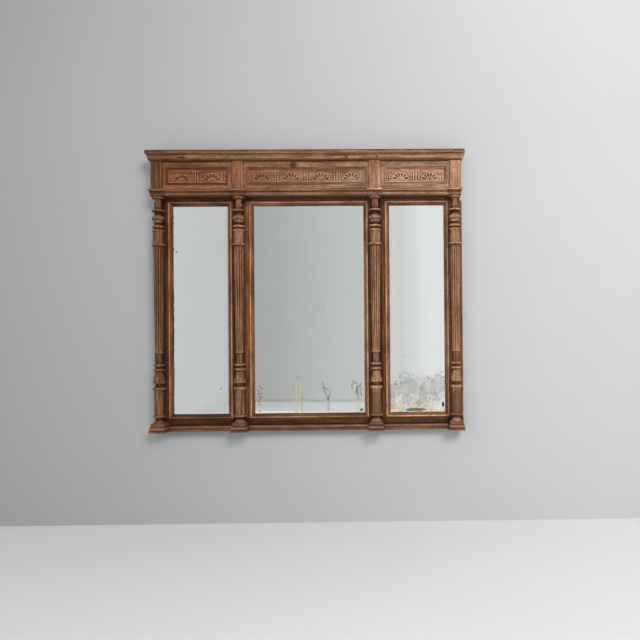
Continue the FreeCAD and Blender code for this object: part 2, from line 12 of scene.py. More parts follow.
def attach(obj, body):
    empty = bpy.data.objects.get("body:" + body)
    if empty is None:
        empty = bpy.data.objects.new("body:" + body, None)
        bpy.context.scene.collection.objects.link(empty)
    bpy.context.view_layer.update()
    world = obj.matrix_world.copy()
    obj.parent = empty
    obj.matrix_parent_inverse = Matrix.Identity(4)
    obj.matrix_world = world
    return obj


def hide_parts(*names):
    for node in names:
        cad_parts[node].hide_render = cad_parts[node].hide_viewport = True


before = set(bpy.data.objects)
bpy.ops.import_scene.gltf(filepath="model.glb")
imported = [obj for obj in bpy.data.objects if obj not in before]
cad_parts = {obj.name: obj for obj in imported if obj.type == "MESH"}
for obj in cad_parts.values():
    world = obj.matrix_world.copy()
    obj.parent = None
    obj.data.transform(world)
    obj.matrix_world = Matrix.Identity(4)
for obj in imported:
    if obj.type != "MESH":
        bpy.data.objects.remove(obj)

# Looks of a wall mirror with three fixed panes in an old oak frame. Lengths are in millimetres
# unless a name says otherwise: x runs right from the middle, depth counts out from the wall and
# height counts up from the underside of the base. The row frame's origin lies BASE_DROP higher.
MM = 0.001
BASE_DROP = 1460.0

Pair = tuple[float, float]
Triple = tuple[float, float, float]
Colour = Triple
Array = np.ndarray
Material = bpy.types.Material
Socket = bpy.types.NodeSocket
Feed = "Socket | float | Sequence[float]"

log = logging.getLogger("wall_mirror")


def row_point(x: float, depth: float, height: float) -> Vector:
    """Turn a place on the mirror into the row frame's metres.

    Args:
        x: distance right of the middle.
        depth: distance out from the wall.
        height: distance above the underside of the base.

    Returns:
        The same place in the row frame.
    """
    return Vector((x * MM, -depth * MM, (height - BASE_DROP) * MM))


class Grain(Enum):
    """Which way the wood's fibres run through a piece."""

    LENGTHWISE = "x"
    CROSSWISE = "y"
    UPRIGHT = "z"
    WORKED = "own"


class Recipe:
    """The node tree of one material or of the world, written as short calls."""

    def __init__(self, name: str, owner: bpy.types.ID | None = None) -> None:
        """Start with an empty tree.

        Args:
            name: what a new material is called.
            owner: whose tree is used in place of a new material's.
        """
        self.owner = owner or bpy.data.materials.new(name)
        self.owner.use_nodes = True
        self.tree = self.owner.node_tree
        self.tree.nodes.clear()

    def add(self, kind: str, feeds: dict | None = None, **settings: object) -> bpy.types.Node:
        """Add one node.

        Args:
            kind: the node's type, without its common prefix.
            feeds: input names or numbers, with what each takes.
            settings: properties of the node.

        Returns:
            The new node.
        """
        made = self.tree.nodes.new("ShaderNode" + kind)
        for name, value in settings.items():
            setattr(made, name, value)
        for key, value in (feeds or {}).items():
            if isinstance(value, bpy.types.NodeSocket):
                self.tree.links.new(value, made.inputs[key])
            else:
                made.inputs[key].default_value = value
        return made

    def place(self) -> Socket:
        """Coordinates in the row frame, in metres."""
        return self.add("TexCoord").outputs["Object"]

    def join(self, x: Feed = 0.0, y: Feed = 0.0, z: Feed = 0.0) -> Socket:
        """The vector of three parts."""
        return self.add("CombineXYZ", {0: x, 1: y, 2: z}).outputs[0]

    def axes(self, vector: Socket) -> Sequence[Socket]:
        """The three parts of a vector."""
        return self.add("SeparateXYZ", {0: vector}).outputs

    def attribute(self, name: str, owner: str, output: str = "Vector") -> Socket:
        """A named value of the mesh (owner GEOMETRY) or of the piece (owner OBJECT)."""
        return self.add("Attribute", attribute_name=name, attribute_type=owner).outputs[output]

    def maths(self, operation: str, a: Feed, b: Feed = 0.0, c: Feed = 0.0) -> Socket:
        """One step of arithmetic on two or three values, and its result."""
        return self.add("Math", {0: a, 1: b, 2: c}, operation=operation).outputs[0]

    def times(self, a: Feed, b: Feed) -> Socket:
        """The product of two values."""
        return self.maths("MULTIPLY", a, b)

    def vector(self, operation: str, a: Feed, b: Feed, scale: Feed = 1.0) -> Socket:
        """One step of arithmetic on two vectors, and its vector result."""
        return self.add("VectorMath", {0: a, 1: b, 3: scale}, operation=operation).outputs[0]

    def noise(self, where: Socket, stretch: Sequence[float], detail: float = 3.0,
              distortion: float = 0.0, rough: float = 0.5) -> Socket:
        """Cloudy noise in space.

        Args:
            where: coordinates in metres.
            stretch: how many features there are to a metre along each axis.
            detail: how many finer layers it has.
            distortion: how much it swirls.
            rough: how strong the finer layers are.

        Returns:
            The noise, from 0 to 1.
        """
        scaled = self.vector("MULTIPLY", where, stretch)
        cloud = self.add("TexNoise", {"Vector": scaled, "Scale": 1.0, "Detail": detail,
                                      "Distortion": distortion, "Roughness": rough})
        return cloud.outputs[0]

    def span(self, value: Socket, low: float, high: float, start: float = 0.0,
             end: float = 1.0) -> Socket:
        """Carry value from the span low to high over to start to end, eased and held there."""
        return self.add("MapRange", {0: value, 1: low, 2: high, 3: start, 4: end},
                        interpolation_type="SMOOTHSTEP").outputs[0]

    def mix(self, share: Feed, first: Feed, second: Feed, mode: str = "MIX") -> Socket:
        """Mix two colours.

        Args:
            share: how much of the second shows, from 0 to 1.
            first: one colour.
            second: the other colour.
            mode: how the second meets the first.

        Returns:
            The mixed colour.
        """
        pair = [(*value, 1.0) if isinstance(value, tuple) else value for value in (first, second)]
        made = self.add("Mix", {0: share, 6: pair[0], 7: pair[1]}, data_type="RGBA",
                        blend_type=mode, clamp_factor=True)
        return made.outputs[2]

    def bump(self, height: Socket, distance: float, strength: float = 1.0) -> Socket:
        """Surface normal roughened by a height of at most distance metres."""
        return self.add("Bump", {"Strength": strength, "Distance": distance,
                                 "Height": height}).outputs[0]

    def open_space(self, reach: float, inside: bool = False) -> Socket:
        """How open it is within reach metres, outside the surface or inside it."""
        return self.add("AmbientOcclusion", {"Distance": reach}, samples=6,
                        inside=inside).outputs["AO"]

    def coat(self, tone: Feed, roughness: Feed, more: dict[str, Feed]) -> Socket:
        """A plain shader with its tone, its roughness and more of its inputs by name."""
        return self.add("BsdfPrincipled", {"Base Color": tone, "Roughness": roughness,
                                           **more}).outputs[0]

    def one_sided(self, shader: Socket) -> Socket:
        """The shader where a face shows its front, and nothing where it shows its back."""
        return self.add("MixShader", {0: self.add("NewGeometry").outputs["Backfacing"], 1: shader,
                                      2: self.add("BsdfTransparent").outputs[0]}).outputs[0]

    def finish(self, surface: Socket, output: str = "OutputMaterial") -> bpy.types.ID:
        """Wire the shader to the output and give back the tree's owner."""
        self.add(output, {"Surface": surface})
        return self.owner


# Where a stain is at full strength and where its dark line runs, as shares of its reach.
STAIN_CORE, STAIN_LINE = 0.72, 0.88


@dataclass(frozen=True)
class Stain:
    """One ragged oval patch on a face: lost silver, a knot, a bruise, a rubbed spot, a painted
    shadow or a painted highlight.

    x and height give its middle on the mirror, and wide and tall its half sizes. Outline says
    how strong the dark line round it is, dull how much of a reflection it takes away, and lean
    how far it moves to the right for each millimetre up.
    """

    x: float
    height: float
    wide: float
    tall: float
    colour: Colour
    strength: float = 1.0
    ragged: float = 0.5
    detail: float = 60.0
    outline: float = 0.0
    dull: float = 0.35
    line: Colour = (0.20, 0.19, 0.15)
    line_width: float = 3.4
    lean: float = 0.0

    def shares(self, recipe: Recipe, where: Socket,
               clouds: dict[float, Socket]) -> tuple[Socket, Socket | None]:
        """How strong the patch and its outline are at each point.

        Args:
            recipe: the material it is made in.
            where: coordinates in metres.
            clouds: the noises made so far, by how fine they are.

        Returns:
            The patch from 0 to 1, and its outline or nothing.
        """
        middle = row_point(self.x, 0.0, self.height)
        local = recipe.vector("SUBTRACT", where, (middle.x, 0.0, middle.z))
        if self.lean:
            upright = recipe.add("VectorMath", {0: local, 1: (1.0, 0.0, -self.lean)},
                                 operation="DOT_PRODUCT").outputs["Value"]
            local = recipe.join(upright, z=recipe.axes(local)[2])
        local = recipe.vector("MULTIPLY", local,
                              (1.0 / (self.wide * MM), 0.0, 1.0 / (self.tall * MM)))
        reach = recipe.add("VectorMath", {0: local}, operation="LENGTH").outputs["Value"]
        if self.detail not in clouds:
            clouds[self.detail] = recipe.noise(where, (self.detail,) * 3, 4.0, 0.4, 0.65)
        ragged = recipe.maths("MULTIPLY_ADD", clouds[self.detail], self.ragged * 2.0,
                              -self.ragged)
        edge = recipe.maths("ADD", reach, ragged)
        inside = recipe.span(edge, 1.0, STAIN_CORE, 0.0, self.strength)
        if not self.outline:
            return inside, None
        off = recipe.maths("ABSOLUTE", recipe.maths("SUBTRACT", edge, STAIN_LINE))
        width = self.line_width / min(self.wide, self.tall)
        return inside, recipe.span(off, width, 0.2 * width, 0.0, self.outline)


@dataclass(frozen=True)
class Bands:
    """Wear, dirt and painted light and shade that run along a moulding: (height, 1 for rubbed and
    lit or -1 for dirty and shaded) pairs.
    """

    name: str
    stops: tuple[Pair, ...]

    def value(self, recipe: Recipe) -> Socket:
        """Make the value in a material.

        Args:
            recipe: the material.

        Returns:
            The value, from -1 to 1, at the height of each point.
        """
        height = recipe.axes(recipe.place())[2]
        low, high = self.stops[0][0], self.stops[-1][0]
        share = recipe.add("MapRange", {0: height, 1: (low - BASE_DROP) * MM,
                                        2: (high - BASE_DROP) * MM}).outputs[0]
        ramp = recipe.add("ValToRGB", {0: share})
        stops = ramp.color_ramp.elements
        while len(stops) < len(self.stops):
            stops.new(0.5)
        for stop, (level, rub) in zip(stops, self.stops):
            stop.position = (level - low) / (high - low)
            tone = 0.5 + 0.5 * rub
            stop.color = (tone, tone, tone, 1.0)
        doubled = recipe.add("MapRange", {0: ramp.outputs[0], 1: 0.0, 2: 1.0, 3: -1.0, 4: 1.0})
        return doubled.outputs[0]


# Noises of the oak: features to a metre along and across the fibres, then how many finer
# layers, how much swirl and how strong the finer layers are.
FIGURE = (2.2, 30.0, 4.0, 0.9)
STREAKS = (5.0, 130.0, 3.0, 0.3)
FIBRES = (22.0, 420.0, 3.0)
PORES = (45.0, 1000.0, 2.0)
CLOUDS = (6.0, 9.0, 3.0)
CRAZING = (48.0, 150.0, 2.0, 0.5, 0.7)
# From which value of its noise to which each of them shows, and how strong it then is.
FIGURE_SHOWS = (0.34, 0.64)
STREAKS_SHOW = (0.44, 0.66, 0.0, 0.9)
FIBRES_SHOW = (0.36, 0.60, 0.45, 0.0)
PORES_SHOW = (0.56, 0.68)
CLOUDS_SHOW = (0.35, 0.7, 0.0, 0.2)
CRAZING_SHOWS = (0.32, 0.66)
PATCHES_SHOW = (0.3, 0.6)
# From which value of wear and shade to which a ridge gets pale, and from which to which the dirt
# and painted shade of a hollow fade out.
RIDGES = (0.02, 0.8)
SUNK = (-0.8, -0.02)
# Heights of fibres, open pores and streaks in the surface, and what a height of 1 is in metres.
FIBRE_RISE, PORE_RISE, STREAK_RISE, OAK_RELIEF = 0.5, -0.7, 0.8, 0.0007
# How strongly a pore shows, and how strongly waxed oak shines.
PORE_SHARE, WAX = 0.55, 0.2
# How far hands rub an edge, as metres into the wood.
EDGE_REACH = 0.0045
# Corners and wide hollows that darken with dirt and painted shade: their reach in metres, and how
# shut in they are when all of the darkening shows. From OPEN on a place is not darkened.
SHADED_HOLLOWS = ((0.007, 0.45), (0.040, 0.15))
OPEN = 0.85
# How far each board number moves the grain, and the tone of open pores.
BOARD_STEP = (1.37, 0.61, 0.83)
PORE: Colour = (0.045, 0.022, 0.011)
# The stretch of the mirror along X, in metres, over which painted light makes the wood lighter
# towards the right.
LIGHT_RAMP_SPAN = (-1.05, 1.05)
# Depths behind which a mark of the front no longer shows.
MARKS_END = (-0.010, -0.003)


@dataclass(frozen=True)
class OakFinish:
    """Old waxed oak, with its own tone, dirt and painted shade in its corners and hollows, and worn
    edges.

    The strength of dirt with painted shade in hollows, and corners, shade, speckle and wear, are
    strengths from 0 to 1; corners and shade are painted shade with dirt in corners and under
    overhangs. The ramp of factors on red, green and blue at the mirror's left and right ends is
    painted light, lighter towards the right.
    """

    name: str
    light: Colour
    middle: Colour
    dark: Colour
    worn: Colour
    soot_and_shade: Colour = (0.26, 0.17, 0.11)
    grime_and_shade: float = 0.9
    corners: float = 0.8
    shade: float = 0.35
    speckle: float = 0.26
    wear: float = 0.75
    roughness: float = 0.62
    light_ramp: tuple[Pair, ...] = ((0.82, 1.24), (0.73, 1.32), (0.64, 1.46))
    marks: tuple[Stain, ...] = ()

    def fibres(self, recipe: Recipe, grain: Grain) -> Socket:
        """Coordinates in metres whose first axis runs with the grain, shifted board by board.

        Args:
            recipe: the material they are made in.
            grain: which way the fibres run.

        Returns:
            The coordinates.
        """
        if grain is Grain.WORKED:
            along = recipe.attribute("grain", "GEOMETRY")
        else:
            parts = recipe.axes(recipe.place())
            order = {Grain.LENGTHWISE: (0, 1, 2), Grain.CROSSWISE: (1, 0, 2),
                     Grain.UPRIGHT: (2, 1, 0)}[grain]
            along = recipe.join(*(parts[i] for i in order))
        board = recipe.attribute("board", "OBJECT")
        return recipe.vector("ADD", along, recipe.vector("MULTIPLY", board, BOARD_STEP))

    def material(self, grain: Grain, bands: Bands | None = None) -> Material:
        """Make the material, or give back the one already made, for a direction of grain.

        Args:
            grain: which way the fibres run.
            bands: the wear, dirt and painted light and shade along the mouldings of a plain solid.

        Returns:
            The material.
        """
        title = f"{self.name}_{grain.name.lower()}" + (f"_{bands.name}" if bands else "")
        if title in bpy.data.materials:
            return bpy.data.materials[title]
        recipe = Recipe(title)
        where = self.fibres(recipe, grain)
        figure, streaks, fibre, pores, clouds, crazing = (
            recipe.noise(where, (along, across, across), *rest)
            for along, across, *rest in (FIGURE, STREAKS, FIBRES, PORES, CLOUDS, CRAZING))
        tone = recipe.mix(recipe.span(figure, *FIGURE_SHOWS), self.dark, self.middle)
        tone = recipe.mix(recipe.span(streaks, *STREAKS_SHOW), tone, self.light)
        tone = recipe.mix(recipe.span(fibre, *FIBRES_SHOW), tone, self.dark)
        pore = recipe.span(pores, *PORES_SHOW)
        tone = recipe.mix(recipe.times(pore, PORE_SHARE), tone, PORE)
        tone = recipe.mix(recipe.span(clouds, *CLOUDS_SHOW), tone, self.worn)
        edge: Feed = 0.0 if grain is Grain.WORKED else self.worn_edge(recipe, clouds)
        if grain is Grain.WORKED or bands:
            rub = bands.value(recipe) if bands else recipe.attribute("rub", "GEOMETRY", "Fac")
            ridge = recipe.span(rub, *RIDGES, 0.0, self.wear)
            patchy = recipe.span(clouds, *PATCHES_SHOW, 0.4, 1.0)
            edge = recipe.maths("MAXIMUM", edge, recipe.times(ridge, patchy))
            # Hollows, grooves and dirty bands take dirt with painted shade; rubbed ridges turn
            # pale.
            sunk = recipe.span(rub, *SUNK, self.grime_and_shade, 0.0)
            tone = recipe.mix(sunk, tone, self.sooted_and_shaded(recipe, tone))
        tone = recipe.mix(edge, tone, self.worn)
        spotted = recipe.span(crazing, *CRAZING_SHOWS, 1.0 - self.speckle, 1.0 + self.speckle)
        tone = recipe.vector("SCALE", tone, (0.0, 0.0, 0.0), spotted)
        # Painted shade with dirt in corners and under overhangs, by how shut in each place is.
        for (reach, shut), share in zip(SHADED_HOLLOWS, (self.corners, self.shade)):
            shut_in = recipe.span(recipe.open_space(reach), shut, OPEN, share, 0.0)
            tone = recipe.mix(shut_in, tone, self.sooted_and_shaded(recipe, tone))
        tone = self.marked(recipe, tone)
        tone = recipe.vector("MULTIPLY", tone, recipe.attribute("tone", "OBJECT"))
        height = recipe.maths("MULTIPLY_ADD", fibre, FIBRE_RISE, recipe.times(pore, PORE_RISE))
        height = recipe.maths("MULTIPLY_ADD", streaks, STREAK_RISE, height)
        rough = recipe.span(fibre, 0.3, 0.7, self.roughness + 0.10, self.roughness - 0.08)
        return recipe.finish(recipe.coat(tone, rough, {
            "Normal": recipe.bump(height, OAK_RELIEF), "Specular IOR Level": WAX}))

    def marked(self, recipe: Recipe, tone: Socket) -> Socket:
        """Put the marks on, and paint the fall of light, lighter towards the right.

        Args:
            recipe: the material.
            tone: its tone so far.

        Returns:
            The tone with both.
        """
        where = recipe.place()
        x, depth, _ = recipe.axes(where)
        front = recipe.span(depth, *MARKS_END, 1.0, 0.0) if self.marks else 0.0
        clouds: dict[float, Socket] = {}
        for mark in self.marks:
            inside, outline = mark.shares(recipe, where, clouds)
            tone = recipe.mix(recipe.times(inside, front), tone, mark.colour)
            if outline:
                tone = recipe.mix(recipe.times(outline, front), tone, mark.line)
        # Painted light: lighter towards the right end, darker towards the left.
        lit_ramp = recipe.join(*(recipe.span(x, *LIGHT_RAMP_SPAN, *ends) for ends in self.light_ramp))
        return recipe.vector("MULTIPLY", tone, lit_ramp)

    def sooted_and_shaded(self, recipe: Recipe, tone: Socket) -> Socket:
        """The tone as it looks under old dirt and painted shade."""
        return recipe.mix(1.0, tone, self.soot_and_shade, "MULTIPLY")

    def worn_edge(self, recipe: Recipe, clouds: Socket) -> Socket:
        """Rub the outer edges pale, patchy along their length.

        Args:
            recipe: the material.
            clouds: the noise that the patches follow.

        Returns:
            How far each point is rubbed, from 0 to 1.
        """
        thin = recipe.span(recipe.open_space(EDGE_REACH, True), 0.35, OPEN, 1.0, 0.0)
        patchy = recipe.span(clouds, *PATCHES_SHOW, 0.35, 1.0)
        return recipe.times(recipe.times(thin, patchy), self.wear)


KNOT: Colour = (0.060, 0.026, 0.014)
PALE: Colour = (0.60, 0.42, 0.29)
CORNICE_OAK = OakFinish(
    "oak_cornice", light=(0.330, 0.164, 0.072), middle=(0.195, 0.092, 0.038),
    dark=(0.080, 0.034, 0.014), worn=(0.49, 0.295, 0.160), corners=0.5, shade=0.2,
    light_ramp=((0.69, 1.33), (0.68, 1.40), (0.66, 1.58)),
    marks=(Stain(-640, 1553, 52, 9, (0.42, 0.205, 0.085), 0.5, 0.9, 120),
           Stain(-695, 1548, 29, 5.2, (0.030, 0.020, 0.015), 1, 0.2, 120),
           Stain(231, 1546, 10, 5, KNOT, 0.95, 0.3, 120),
           Stain(402, 1548, 8, 6, KNOT, 1, 0.3, 120),
           Stain(838, 1585, 9, 4, KNOT, 0.9, 0.2, 120)))
FRIEZE_OAK = OakFinish(
    "oak_frieze", light=(0.410, 0.185, 0.092), middle=(0.250, 0.105, 0.048),
    dark=(0.105, 0.037, 0.015), worn=(0.57, 0.33, 0.195), grime_and_shade=0.62, corners=0.3, shade=0.15,
    wear=0.62, light_ramp=((0.74, 1.28), (0.57, 1.55), (0.39, 1.91)),
    marks=(Stain(-72, 1512, 22, 17, (0.060, 0.022, 0.010), 0.85, 1.9, 150, 0.5,
                 line=KNOT, line_width=2.6),
           Stain(-856, 1440, 3.2, 92, KNOT, 0.8, 0.2, 90),
           # The pale strips on the right arrises of the blocks are painted highlights along with
           # wear.
           Stain(-817, 1440, 3, 90, PALE, 0.5, 0.4, 90),
           Stain(-361, 1440, 7, 88, (0.46, 0.27, 0.18), 0.5, 0.7, 90),
           Stain(413, 1430, 9, 64, (0.36, 0.215, 0.13), 0.45, 1.1, 90)))
CAPITAL_OAK = OakFinish(
    "oak_capital", light=(0.225, 0.102, 0.052), middle=(0.130, 0.054, 0.028),
    dark=(0.055, 0.020, 0.010), worn=(0.47, 0.285, 0.19), wear=0.95,
    light_ramp=((0.73, 1.33), (0.59, 1.37), (0.45, 1.37)))
COLUMN_OAK = OakFinish(
    "oak_column", light=(0.355, 0.180, 0.092), middle=(0.200, 0.092, 0.044),
    dark=(0.078, 0.031, 0.014), worn=(0.45, 0.295, 0.20), grime_and_shade=0.95,
    corners=0.95, shade=0.8, wear=0.8, light_ramp=((0.82, 1.24), (0.70, 1.23), (0.58, 1.22)),
    marks=(Stain(387, 150, 46, 95, (0.060, 0.029, 0.014), 0.6, 0.3, 20),
           Stain(843, 150, 46, 95, (0.060, 0.029, 0.014), 0.72, 0.3, 20)))
FRAME_OAK = OakFinish(
    "oak_frame", light=(0.290, 0.130, 0.062), middle=(0.176, 0.070, 0.032),
    dark=(0.070, 0.025, 0.012), worn=(0.55, 0.30, 0.165))
BASE_OAK = OakFinish(
    "oak_base", light=(0.245, 0.115, 0.056), middle=(0.145, 0.062, 0.029),
    dark=(0.060, 0.024, 0.011), worn=(0.45, 0.27, 0.165),
    light_ramp=((0.84, 1.05), (0.78, 1.05), (0.68, 1.08)))
CARCASS_OAK = OakFinish(
    "oak_carcass", light=(0.255, 0.106, 0.046), middle=(0.153, 0.057, 0.024),
    dark=(0.068, 0.023, 0.010), worn=(0.30, 0.14, 0.075), shade=0.7,
    light_ramp=((0.82, 1.15), (0.69, 1.18), (0.52, 1.16)),
    # The tall dark ovals are painted shadows of the columns on the stiles, with dirt beside them.
    marks=tuple(Stain(x, 700, wide, 1500, (0.026, 0.010, 0.005), strength, 0.15, 20)
                for x, wide, strength in ((-862, 44, 0.9), (-404, 44, 0.9), (390, 38, 0.9),
                                          (846, 26, 0.85), (886, 12, 0.4))))
BACK_OAK = OakFinish("oak_back", light=(0.300, 0.205, 0.125), middle=(0.205, 0.132, 0.080),
                     dark=(0.105, 0.063, 0.038), worn=(0.36, 0.25, 0.16), grime_and_shade=0.5, wear=0.3,
                     roughness=0.8)


@dataclass(frozen=True)
class SilverFinish:
    """Old silvered glass: a cool reflection with grey haze, specks and brown stains."""

    name: str
    tint: Colour
    stains: tuple[Stain, ...]
    deep: float = 0.9
    line_dull: float = 0.5
    mirror_rough: float = 0.035
    glass_rough: float = 0.18
    ripple: float = 0.00035

    def material(self) -> Material:
        """Make the pane's material.

        Returns:
            The material.
        """
        recipe = Recipe(self.name)
        where = recipe.place()
        lost: Feed = 0.0
        haze = recipe.noise(where, (3.0, 3.0, 5.0), 4.0, 0.6, 0.6)
        tone = recipe.mix(recipe.span(haze, 0.4, 0.75, 0.0, 0.25), self.tint,
                          tuple(c * self.deep for c in self.tint))
        veil = recipe.span(haze, 0.35, 0.8, 0.02, 0.10)
        clouds: dict[float, Socket] = {}
        for stain in self.stains:
            inside, outline = stain.shares(recipe, where, clouds)
            tone = recipe.mix(inside, tone, stain.colour)
            lost = recipe.maths("MAXIMUM", recipe.times(inside, stain.dull), lost)
            if outline:
                tone = recipe.mix(outline, tone, stain.line)
                lost = recipe.maths("MAXIMUM", recipe.times(outline, self.line_dull), lost)
        ripple = recipe.noise(where, (7.0, 7.0, 5.0), 1.0)
        sheen = recipe.bump(ripple, self.ripple, 0.25)
        silver = recipe.coat(tone, self.mirror_rough, {"Metallic": 1.0, "Normal": sheen})
        backing = recipe.coat(tone, self.glass_rough, {"Normal": sheen})
        dull = recipe.maths("MAXIMUM", lost, veil)
        return recipe.finish(recipe.add("MixShader", {0: dull, 1: silver, 2: backing}).outputs[0])


@dataclass(frozen=True)
class SteelFinish:
    """Dull steel gone brown in places."""

    name: str = "plate_steel"
    clean: Colour = (0.36, 0.345, 0.32)
    rust: Colour = (0.16, 0.075, 0.035)

    def material(self) -> Material:
        """Make the steel's material.

        Returns:
            The material.
        """
        recipe = Recipe(self.name)
        where = recipe.place()
        patches = recipe.noise(where, (90.0,) * 3, 5.0, 0.3, 0.65)
        scratch = recipe.noise(where, (2500.0, 60.0, 60.0), 2.0)
        tone = recipe.mix(recipe.span(patches, 0.48, 0.66), self.clean, self.rust)
        rough = recipe.span(patches, 0.4, 0.7, 0.34, 0.8)
        metal = recipe.span(patches, 0.48, 0.66, 0.95, 0.15)
        return recipe.finish(recipe.coat(tone, rough, {
            "Metallic": metal, "Normal": recipe.bump(scratch, 0.0001)}))


def new_piece(name: str, points: Array, faces: Iterable[Sequence[int]],
              grain: Array, material: Material,
              rub: Array | None = None, smooth_below: float = 32.0) -> bpy.types.Object:
    """Make one piece of the mirror and let it ride on the only body.

    Args:
        name: the piece's name.
        points: its points as rows of x, depth and height.
        faces: the corners of each face, as numbers of points.
        grain: for each point, its place in the board that the piece was cut from.
        material: what it is made of.
        rub: for each point, 1 on a rubbed ridge and -1 in a hollow that holds dirt and painted
            shade.
        smooth_below: edges that turn less than this many degrees are shaded smooth.

    Returns:
        The piece.
    """
    mesh = bpy.data.meshes.new(name)
    placed = np.asarray(points, float) * (MM, -MM, MM) - (0.0, 0.0, BASE_DROP * MM)
    mesh.from_pydata(placed.tolist(), [], [tuple(map(int, f)) for f in faces])
    own = mesh.attributes.new("grain", "FLOAT_VECTOR", "POINT")
    own.data.foreach_set("vector", (np.asarray(grain, float) * MM).ravel().astype(np.float32))
    if rub is not None:
        touched = mesh.attributes.new("rub", "FLOAT", "POINT")
        touched.data.foreach_set("value", np.asarray(rub, np.float32))
    mesh.validate()
    mesh.shade_smooth()
    mesh.set_sharp_from_angle(angle=math.radians(smooth_below))
    piece = bpy.data.objects.new(name, mesh)
    bpy.context.scene.collection.objects.link(piece)
    mesh.materials.append(material)
    turn_faces_outward(mesh)
    name_board(piece)
    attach(piece, "root")
    return piece


def turn_faces_outward(mesh: bpy.types.Mesh) -> None:
    """Flip a closed mesh whose faces point inwards.

    Args:
        mesh: the mesh.
    """
    mesh.calc_loop_triangles()
    points = np.empty(len(mesh.vertices) * 3)
    mesh.vertices.foreach_get("co", points)
    corners = np.empty(len(mesh.loop_triangles) * 3, int)
    mesh.loop_triangles.foreach_get("vertices", corners)
    a, b, c = (points.reshape(-1, 3)[corners.reshape(-1, 3)[:, i]] for i in range(3))
    if np.einsum("ij,ij->i", a, np.cross(b, c)).sum() < 0.0:
        mesh.flip_normals()


def name_board(piece: bpy.types.Object) -> None:
    """Note which board a piece is cut from, and how dark it is: its age together with painted light
    and shade for how it is lit.

    Args:
        piece: the piece, whose name picks the board.
    """
    seed = sum((i + 3) * ord(letter) for i, letter in enumerate(piece.name))
    numbers = [(seed * k % 97) / 97.0 for k in (31, 57, 83)]
    piece["board"] = [10.0 * number for number in numbers]
    shade = 0.96 + 0.08 * numbers[0]
    for start, factor in PIECE_TONE_AND_LIGHT.items():
        if piece.name.startswith(start):
            shade *= factor
    piece["tone"] = [shade, shade * (0.98 + 0.04 * numbers[1]), shade * (0.96 + 0.08 * numbers[2])]


# How much lighter than its finish a piece is, by the start of its name: the board's own tone
# together with painted light and shade for how each piece is lit. All that fit count.
PIECE_TONE_AND_LIGHT = {
    "stile_far_left": 0.85, "stile_left": 2.0, "stile_right": 0.82, "stile_far_right": 1.6,
    "bottom_rail": 0.55, "head_board": 1.2, "frieze_block_far_left": 0.62,
    "frieze_block_right": 1.4, "frieze_block_far_right": 1.12, "frieze_stile_far_left": 0.85,
    "frieze_rail_bottom": 1.1, "frieze_rail_top": 0.92,
    "cornice": 1.08, "carved_frieze_panel_left": 1.1, "carved_frieze_panel_right": 1.15,
    "panel_moulding_left": 0.75, "panel_moulding_right": 1.15,
    "mirror_frame": 1.15, "mirror_frame_left": 1.15, "mirror_frame_left_bottom": 0.36,
    "mirror_frame_left_top": 0.7, "mirror_frame_centre": 1.15,
    "mirror_frame_centre_bottom": 0.7, "mirror_frame_right_bottom": 1.25,
    "capital_block": 1.22, "capital_block_right": 1.55, "capital_block_far_right": 1.15,
    "architrave": 0.85, "architrave_left": 0.9, "architrave_right": 1.1,
    "turned_column": 1.05, "turned_column_left": 1.2, "turned_column_right": 1.25,
    "turned_column_far_right": 1.18, "plinth": 0.95, "plinth_far_right": 0.92,
    "base_moulding_right": 0.95,
}


def dress_node(name: str, material: Material, ease: float = 1.2) -> None:
    """Give a solid of the frame its material and eased edges.

    Args:
        name: the node.
        material: what it is made of.
        ease: how far its edges are rounded.
    """
    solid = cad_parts[name]
    solid.data.materials.clear()
    solid.data.materials.append(material)
    name_board(solid)
    solid.modifiers.new("join_corners", "WELD").merge_threshold = 0.01 * MM
    if ease:
        bevel = solid.modifiers.new("eased_edges", "BEVEL")
        bevel.width = ease * MM
        bevel.segments = 2
        bevel.limit_method = "ANGLE"
        bevel.angle_limit = math.radians(28.0)
    solid.modifiers.new("even_shading", "WEIGHTED_NORMAL").keep_sharp = False


# How many rows of points a moulded stick has along its length, and parts an arc is divided in.
STICK_ROWS = 9
ARC_PARTS = 7


@dataclass(frozen=True)
class Section:
    """Section of a moulding as corners (in from the outer edge, out from the wall, wear).

    Wear runs from -1, dirty and in painted shade, to 1, rubbed. A corner may hold a fourth number:
    the bulge of the arc that leads to the next corner.
    """

    corners: tuple[tuple[float, ...], ...]

    def points(self) -> Array:
        """Divide the arcs of the closed outline.

        Returns:
            All its points, each with its wear.
        """
        made: list[Triple] = []
        for (ax, ay, wear, *arc), (bx, by, next_wear, *_) in zip(
                self.corners, self.corners[1:] + self.corners[:1]):
            across, up = bx - ax, by - ay
            bulge = 4.0 * sum(arc) / math.hypot(across, up)
            for t in np.arange(ARC_PARTS if arc else 1) / ARC_PARTS:
                off = bulge * t * (1.0 - t)
                made.append((ax + across * t - up * off, ay + up * t + across * off,
                             wear + (next_wear - wear) * t))
        return np.array(made)


def tube_faces(rows: int, count: int, first: int = 0, capped: bool = True) -> list[tuple[int, ...]]:
    """Faces of a tube.

    Args:
        rows: how many rows of points it has.
        count: how many points there are in a row.
        first: number of its first point.
        capped: whether its two ends are closed.

    Returns:
        The corners of each face.
    """
    last = first + (rows - 1) * count
    made = [(a + i, a + (i + 1) % count, a + count + (i + 1) % count, a + count + i)
            for a in range(first, last, count) for i in range(count)]
    if capped:
        made += [tuple(range(first, first + count))[::-1], tuple(range(last, last + count))]
    return made


